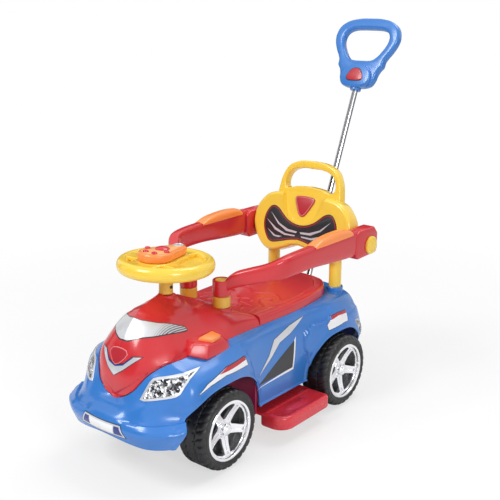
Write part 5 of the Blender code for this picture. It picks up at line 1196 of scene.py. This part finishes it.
# ---------------- floor, light and camera
deselect()
bpy.ops.mesh.primitive_plane_add(size=80, location=(0, 0, -0.0005))
floor = bpy.context.object
floor.name = "floor"
mat, tree, shader, where = nodes_of("pale floor")
shades = [(0.3, (0.90, 0.90, 0.90)), (0.7, (0.93, 0.93, 0.93))]
plug(tree, shader, {"Base Color": ramp(tree, noise(tree, where, 3, 2), shades), "Roughness": 0.9})
rays = added(tree, "ShaderNodeLightPath", {}).outputs
glow = added(tree, "ShaderNodeEmission", {"Strength": 1.0})
from_car = added(tree, "ShaderNodeVectorMath", {0: where}, "LENGTH")
fade = spread(tree, from_car.outputs["Value"], 0.62, 1.0, 0.5, 1.5)
share = added(tree, "ShaderNodeMath", {0: rays["Is Camera Ray"], 1: fade}, "MULTIPLY")
blend = added(tree, "ShaderNodeMixShader", {"Fac": share.outputs["Value"], 1: shader.outputs["BSDF"],
                                            2: glow.outputs["Emission"]})
plug(tree, tree.nodes["Material Output"], {"Surface": blend.outputs["Shader"]})
floor.data.materials.append(mat)

world = bpy.data.worlds.new("soft room")
bpy.context.scene.world = world
world.use_nodes = True
tree = world.node_tree
room = plug(tree, tree.nodes["Background"], {"Color": (0.95, 0.97, 1.0, 1), "Strength": 0.36})
bright = added(tree, "ShaderNodeBackground", {"Color": (1, 1, 1, 1), "Strength": 1.0})
rays = added(tree, "ShaderNodeLightPath", {}).outputs
seen = added(tree, "ShaderNodeMath", {0: rays["Is Camera Ray"], 1: rays["Is Glossy Ray"]}, "MAXIMUM")
seen = added(tree, "ShaderNodeMath", {0: seen.outputs["Value"], 1: rays["Is Transmission Ray"]}, "MAXIMUM")
blend = added(tree, "ShaderNodeMixShader", {"Fac": seen.outputs["Value"], 1: room.outputs["Background"],
                                            2: bright.outputs["Background"]})
plug(tree, tree.nodes["World Output"], {"Surface": blend.outputs["Shader"]})


def lamp(name, place, aim, size, power):
    data = bpy.data.lights.new(name, "AREA")
    data.shape = "SQUARE"
    data.size = size
    data.energy = power
    obj = bpy.data.objects.new(name, data)
    bpy.context.scene.collection.objects.link(obj)
    obj.location = place
    obj.rotation_euler = (Vector(aim) - Vector(place)).to_track_quat("-Z", "Y").to_euler()


lamp("key", (-0.8, -2.3, 2.7), (0, 0, 0.25), 1.2, 62)
lamp("side", (2.6, -1.3, 1.5), (0, 0, 0.3), 0.9, 30)
lamp("top", (0.4, 1.0, 3.0), (0, 0, 0.2), 1.4, 34)

# dark cards round the stage, seen only in reflections
CARD_DISTANCE = 3.4
# bearing and width, both in degrees
for bearing, span in ((-132, 30), (-100, 30), (18, 14), (115, 30), (146, 30), (190, 16)):
    a = radians(bearing)
    wide = 2 * CARD_DISTANCE * sin(radians(span / 2))
    deselect()
    bpy.ops.mesh.primitive_plane_add(size=1, location=(0, 0, 0))
    card = bpy.context.object
    card.name = "dark card"
    stand = Matrix.Translation((CARD_DISTANCE * cos(a), CARD_DISTANCE * sin(a), 1.4))
    stand = stand @ Matrix.Rotation(a, 4, "Z") @ Matrix.Rotation(pi / 2, 4, "Y")
    turn_to(card, stand @ Matrix.Diagonal((2.7, wide, 1, 1)))
    card.data.materials.append(BLACK)
    card.visible_camera = card.visible_shadow = card.visible_diffuse = False

eye = bpy.data.cameras.new("camera")
eye.sensor_width = 36
eye.sensor_fit = "HORIZONTAL"
FOCAL, PICTURE_WIDTH = 883.74, 500  # in picture points
eye.lens = FOCAL / PICTURE_WIDTH * eye.sensor_width
eye.clip_end = 50
camera = bpy.data.objects.new("camera", eye)
bpy.context.scene.collection.objects.link(camera)
right, up, behind = (.77537, .63151, 0), (-.17407, .21372, .96126), (.60705, -.74533, .27564)
turn = Matrix((right, up, behind)).transposed().to_4x4()
camera.matrix_world = Matrix.Translation((1.14179, -1.15804 + AXLE_Y, 0.87605)) @ turn
bpy.context.scene.camera = camera
bpy.context.scene.view_settings.view_transform = "Standard"
